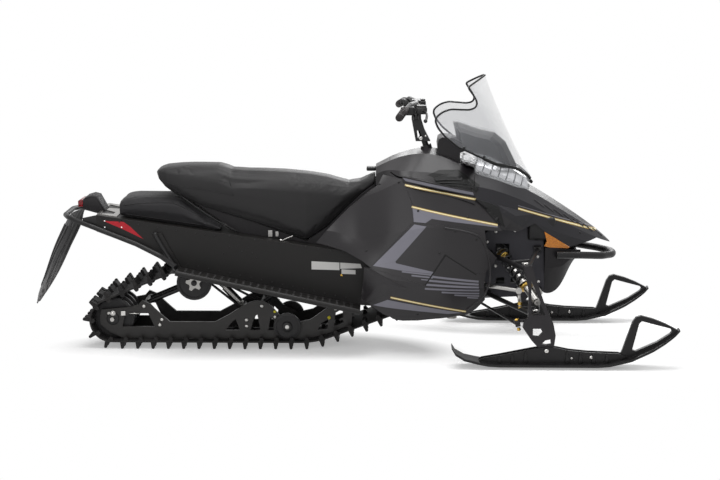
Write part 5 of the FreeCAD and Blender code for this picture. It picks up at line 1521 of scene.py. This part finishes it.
class SNOWMOBILE_OT_suspension(bpy.types.Operator):
    """Spring collars, reservoirs, nuts and links of the front suspension"""

    bl_idname = "snowmobile.suspension"
    bl_label = "Suspension fittings"

    def execute(self, context):
        low, high = Vector((0.880, -0.418, 0.278)), Vector((0.718, -0.1773, 0.483))
        run = (high - low).normalized()
        collars = [
            lathe(high - run * 0.046, run, [(0, 0.020), (0.002, 0.024), (0.018, 0.024), (0.020, 0.020)], 20),
            lathe(low + run * 0.098, run, [(0, 0.020), (0.002, 0.030), (0.010, 0.030), (0.012, 0.020)], 20)]
        assembled("shock_collars", mirrored(collars), "damper_silver", finish="brass")
        can = lathe(low + run * 0.03 + Vector((0.030, 0.006, 0.016)), run,
                    [(0, 0.010), (0.004, 0.015), (0.075, 0.015), (0.080, 0.010)], 22)
        assembled("shock_reservoirs", mirrored([can]), "damper_silver")
        axis = Vector((KINGPIN_TOP[0] - KINGPIN_FOOT[0], 0, KINGPIN_TOP[1] - KINGPIN_FOOT[1])).normalized()
        for side, name in NAMED_SIDES:
            ball = Vector((0.785, side * 0.540, 0.196))
            nuts = [cap(ball + axis * 0.0225, axis, 0.011, 0.006, 0.009),
                    cap(ball - axis * 0.0135, -axis, 0.009, 0.012, 0.006)]
            faceted(f"tie_nuts_{name}", nuts, "steel", f"tie_rod_{name}", "brass")
            pins = []
            for along, up in (KINGPIN_FOOT, KINGPIN_TOP):
                middle = Vector((along, side * 0.500, up))
                for way in SIDES:
                    pins.append(cap(middle + axis * (way * 0.0255), axis * way, 0.012, 0.006, 0.009))
            faceted(f"kingpin_nuts_{name}", pins, "steel", f"spindle_{name}", "bright_bolt")
        links = [cap((0.803, -0.400, 0.2545), (0, 0, -1), 0.010, 0.008, 0.007),
                 cap((0.8015, -0.400, 0.262), (0.01, 0, 1), 0.011, 0.012, 0.008)]
        faceted("link_nuts", mirrored(links), "steel", finish="brass")
        rod = lathe((0.8002, -0.400, 0.274), (-0.09, 0, 1), [(0, 0.0076), (0.040, 0.0076)], 16)
        assembled("link_sleeves", mirrored([rod]), "steel")
        return {"FINISHED"}


COOLANT_PIPES = (
    ([(0.655, 0.150, 0.560), (0.680, 0.148, 0.500), (0.672, 0.146, 0.430), (0.700, 0.148, 0.370),
      (0.690, 0.146, 0.310)], 0.013),
    ([(0.662, 0.120, 0.540), (0.730, 0.130, 0.520), (0.790, 0.128, 0.440), (0.800, 0.130, 0.350)], 0.011),
    ([(0.640, 0.100, 0.320), (0.720, 0.120, 0.330), (0.830, 0.125, 0.320), (0.890, 0.110, 0.380)], 0.009),
)
BAY_BLOCKS = (((0.915, 0, 0.585), (0.13, 0.38, 0.11), 0.015), ((0.760, 0, 0.430), (0.20, 0.18, 0.26), 0.02),
              ((0.700, 0, 0.340), (0.12, 0.22, 0.12), 0.015))
FRAME_BOLTS = [(700, 405), (760, 400), (830, 420), (880, 560), (700, 570), (790, 575), (905, 330), (660, 520),
               (900, 450)]


class SNOWMOBILE_OT_engine_bay(bpy.types.Operator):
    """Coolant pipes, a dark housing and the frame's bolts behind the front suspension"""

    bl_idname = "snowmobile.engine_bay"
    bl_label = "Engine bay"

    def execute(self, context):
        pipes = [tube("pipe", [(x, side * y, z) for x, y, z in path], radius)
                 for side in SIDES for path, radius in COOLANT_PIPES]
        assembled("coolant_pipes", pipes, "track_rubber", finish="screen_rubber")
        dark = [block(*values) for values in BAY_BLOCKS]
        assembled("bay_housing", dark, "panel_plastic", finish="frame_black")
        fastened("frame_bolts", hex_bolt(), on_sides(0.1665, FRAME_BOLTS, 0.007), "bright_bolt")
        return {"FINISHED"}


SKI_RIBS = ((0.700, 0.056), (0.760, 0.068), (0.820, 0.080), (1.010, 0.082), (1.070, 0.075), (1.130, 0.071),
            (1.190, 0.068))
SKI_BOLTS = ((0.915, 0.080, 0.011, 0.0302), (1.120, 0.050, 0.009, 0.0238), (0.760, 0.046, 0.006, 0.0238),
             (1.030, 0.046, 0.006, 0.0238))


class SNOWMOBILE_OT_skis(bpy.types.Operator):
    """Ribs and bolts of the skis"""

    bl_idname = "snowmobile.skis"
    bl_label = "Ski fittings"

    def execute(self, context):
        for side, name in NAMED_SIDES:
            middle = side * 0.540
            ribs = []
            for x, top in SKI_RIBS:
                outline = [(x - 0.010, 0.022), (x + 0.010, 0.022), (x + 0.004, top - 0.004),
                           (x - 0.004, top - 0.004)]
                for way in SIDES:
                    near, far = middle + way * 0.0230, middle + way * 0.0230 + way * 0.010
                    ribs.append(slab(outline, min(near, far), max(near, far), 0.001))
            assembled(f"ski_ribs_{name}", ribs, "ski_plastic", f"ski_{name}")
            places = [((x, middle + way * reach, z), (0, way, 0), scale) for x, z, scale, reach in SKI_BOLTS
                      for way in SIDES]
            fastened(f"ski_bolts_{name}", dome_bolt(), places, "bright_bolt", body=f"ski_{name}")
        return {"FINISHED"}


FAN = [(0, 1, 4), (1, 2, 4), (2, 3, 4), (3, 0, 4)]
# Dark sheets laid over the panels as painted shade: over the intake opening behind the hood, and over the
# vent area, which is black plastic with painted shade in its recess.
SHADE_AND_BLACK_SHEETS = [
    [(599, 739, 3), (655, 725, 3), (711, 701, 3), (735, 607, 3), (698, 631, 3)],
    [(403, 833, 3), (514, 866, 3), (616, 782, 3), (570, 768, 3), (421, 805, 3)],
]
BODY_RAISED = [
    ([(84, 429, 1), (279, 335, 1), (135, 273, 1), (60, 240, 1), (158, 358, 15)], FAN),
    ([(701, 711, 2), (874, 660, 5), (805, 593, 2), (740, 598, 2), (786, 659, 18)], FAN),
    ([(533, 908, 2), (571, 857, 2), (669, 833, 2), (608, 880, 8)], None),
]
VENT_SLATS = [[(412, 822), (470, 828), (530, 824)], [(430, 812), (500, 814), (560, 806)],
              [(455, 803), (530, 800), (590, 788)]]
BAND_TOP = ((256, 846), (598, 774))
BAND_FOOT = ((266, 819), (600, 752))
PANEL_BEAD = [(453, 615), (606, 592), (645, 530), (663, 451), (668, 400), (664, 353), (637, 285), (563, 225)]
PANEL_SCREWS = (
    ("knee_panel_right", [(150, 800), (90, 500), (240, 815)]),
    ("upper_panel_right", [(330, 690), (560, 660)]),
    ("side_panel_right", [(500, 600), (600, 560), (430, 500)]),
    ("lower_panel_right", [(110, 300), (600, 250), (330, 200)]),
    ("hood", [(760, 640), (1100, 560)]),
)


def beads(skin, lines, lift, radius):
    """Round strips over the bodywork's right side, along lines of (X, Z) places in millimetres."""
    return [tube("bead", [rested(skin, x / 1000, z / 1000, lift) for x, z in line], radius) for line in lines]


class SNOWMOBILE_OT_panel_trim(bpy.types.Operator):
    """Tank and its cap, dark sheets of painted shade over the intake and the black vent, slats, raised
    facets, grille and screws of the panels
    """

    bl_idname = "snowmobile.panel_trim"
    bl_label = "Panel trim"

    def execute(self, context):
        assembled("tank_shell", [block((0.235, 0, 0.735), (0.170, 0.250, 0.220), 0.030)], "panel_plastic")
        assembled("tank_cap", [block((0.108, 0, 0.850), (0.046, 0.060, 0.018), 0.006)], "panel_plastic",
                  finish="screen_rubber")
        skin = bodywork()
        # The dark sheets are painted shade in the intake and vent openings, and the vent is black plastic as
        # well; the vent slats are real parts.
        dark = [draped(skin, outline) for outline in SHADE_AND_BLACK_SHEETS] + beads(skin, VENT_SLATS, 0.004, 0.0032)
        faceted("body_openings", mirrored(dark), "panel_plastic", finish="screen_rubber")
        raised = [draped(skin, outline, faces) for outline, faces in BODY_RAISED]
        raised.append(straight_strip(skin, BAND_TOP, BAND_FOOT, 0.016))
        raised += beads(skin, [PANEL_BEAD], 0.001, 0.005)
        faceted("body_facets", mirrored(raised), "panel_gloss")
        bars = [[(x, 733 - (x - 860) * 0.53), (x + 48, 722 - (x - 812) * 0.53)] for x in range(880, 1170, 48)]
        faceted("hood_grille", mirrored(beads(skin, bars, 0.001, 0.0036)), "panel_plastic", finish="tail_fin")
        screws = []
        for name, places in PANEL_SCREWS:
            panel = surface_of(frame["nodes"][name].data)
            screws += [(laid(panel, x / 1000, z / 1000, -1), (0, -1, 0.1), 0.006) for x, z in places]
        fastened("panel_screws", dome_bolt(), both(screws), "frame_black")
        return {"FINISHED"}


# Stage

SOFTBOXES = (("softbox_top", (0.2, -0.2, 3.4), (0.0, 0.0, 0.4), (4.4, 2.0), 110),
             ("softbox_side", (-1.0, -4.8, 2.4), (0.0, 0.0, 0.5), (3.6, 2.2), 50),
             ("softbox_back", (1.0, 3.8, 2.4), (0.0, 0.0, 0.6), (3.0, 1.6), 60))
CAMERA_LENS = 93.08
CAMERA_PLACE = (0.2241, -8.8904, 1.8983)
CAMERA_TURN = (90 - 8.927, 0.0, 1.100)


class SNOWMOBILE_OT_stage(bpy.types.Operator):
    """Pale floor, white surroundings, three soft lights and the camera"""

    bl_idname = "snowmobile.stage"
    bl_label = "Stage"

    def execute(self, context):
        plane = bmesh.new()
        bmesh.ops.create_grid(plane, x_segments=1, y_segments=1, size=30.0)
        floor = held(mesh_of(plane, "studio_floor", False), "studio_floor")
        floor.data.materials.append(finish_of("studio_floor"))

        world = bpy.data.worlds.new("studio")
        context.scene.world = world
        world.use_nodes = True
        sky = Graph(world.node_tree)
        path = sky.node("ShaderNodeLightPath")
        seen = path | sky.other(path, "Is Transmission Ray") | (sky.other(path, "Is Glossy Ray") * 0.75)
        back = world.node_tree.nodes["Background"]
        back.inputs[0].default_value = (1, 1, 1, 1)
        world.node_tree.links.new((seen * 0.62 + 0.38).socket, back.inputs[1])

        for name, place, aim, size, power in SOFTBOXES:
            lamp = bpy.data.lights.new(name, "AREA")
            lamp.shape = "RECTANGLE"
            lamp.size, lamp.size_y = size
            lamp.energy = power * sizes().lamp_power
            holder = held(lamp, name)
            holder.location = place
            holder.rotation_euler = (Vector(aim) - Vector(place)).to_track_quat("-Z", "Y").to_euler()

        lens = bpy.data.cameras.new("photo_camera")
        lens.lens = CAMERA_LENS
        lens.sensor_width = 36.0
        lens.clip_end = 100.0
        camera = held(lens, "photo_camera")
        camera.location = CAMERA_PLACE
        camera.rotation_euler = [math.radians(angle) for angle in CAMERA_TURN]
        context.scene.camera = camera
        context.scene.view_settings.view_transform = "Standard"
        return {"FINISHED"}


class SNOWMOBILE_OT_finishes(bpy.types.Operator):
    """Gives every solid of the frame the finish of its slot"""

    bl_idname = "snowmobile.finishes"
    bl_label = "Finishes"

    def execute(self, context):
        slots = {row["node"]: row["material_slot"] for row in frame["record"]["subparts"]}
        for name, thing in frame["nodes"].items():
            thing.data.materials.clear()
            thing.data.materials.append(finish_of("panel_gloss" if name == "console" else slots[name]))
        return {"FINISHED"}


OPERATORS = [
    SNOWMOBILE_OT_stage, SNOWMOBILE_OT_finishes, SNOWMOBILE_OT_seat, SNOWMOBILE_OT_bag, SNOWMOBILE_OT_track,
    SNOWMOBILE_OT_wheels, SNOWMOBILE_OT_fasteners, SNOWMOBILE_OT_running_boards, SNOWMOBILE_OT_tail,
    SNOWMOBILE_OT_straps, SNOWMOBILE_OT_windshield, SNOWMOBILE_OT_headlight, SNOWMOBILE_OT_steering_head,
    SNOWMOBILE_OT_suspension, SNOWMOBILE_OT_engine_bay, SNOWMOBILE_OT_skis, SNOWMOBILE_OT_panel_trim,
]


class SNOWMOBILE_PT_pieces(bpy.types.Panel):
    """Lists the snowmobile's sizes and the steps that dress it"""

    bl_idname = "SNOWMOBILE_PT_pieces"
    bl_label = "Snowmobile"
    bl_space_type = "VIEW_3D"
    bl_region_type = "UI"
    bl_category = "Snowmobile"

    def draw(self, context):
        for name in SnowmobileSizes.__annotations__:
            self.layout.prop(sizes(), name)
        for step in OPERATORS:
            self.layout.operator(step.bl_idname)


def register():
    for kind in [SnowmobileSizes, *OPERATORS, SNOWMOBILE_PT_pieces]:
        bpy.utils.register_class(kind)
    bpy.types.Scene.snowmobile_sizes = PointerProperty(type=SnowmobileSizes)


def unregister():
    del bpy.types.Scene.snowmobile_sizes
    for kind in [SNOWMOBILE_PT_pieces, *OPERATORS[::-1], SnowmobileSizes]:
        bpy.utils.unregister_class(kind)


def main():
    register()
    for step in OPERATORS:
        family, name = step.bl_idname.split(".")
        getattr(getattr(bpy.ops, family), name)()


if __name__ == "__main__":
    main()
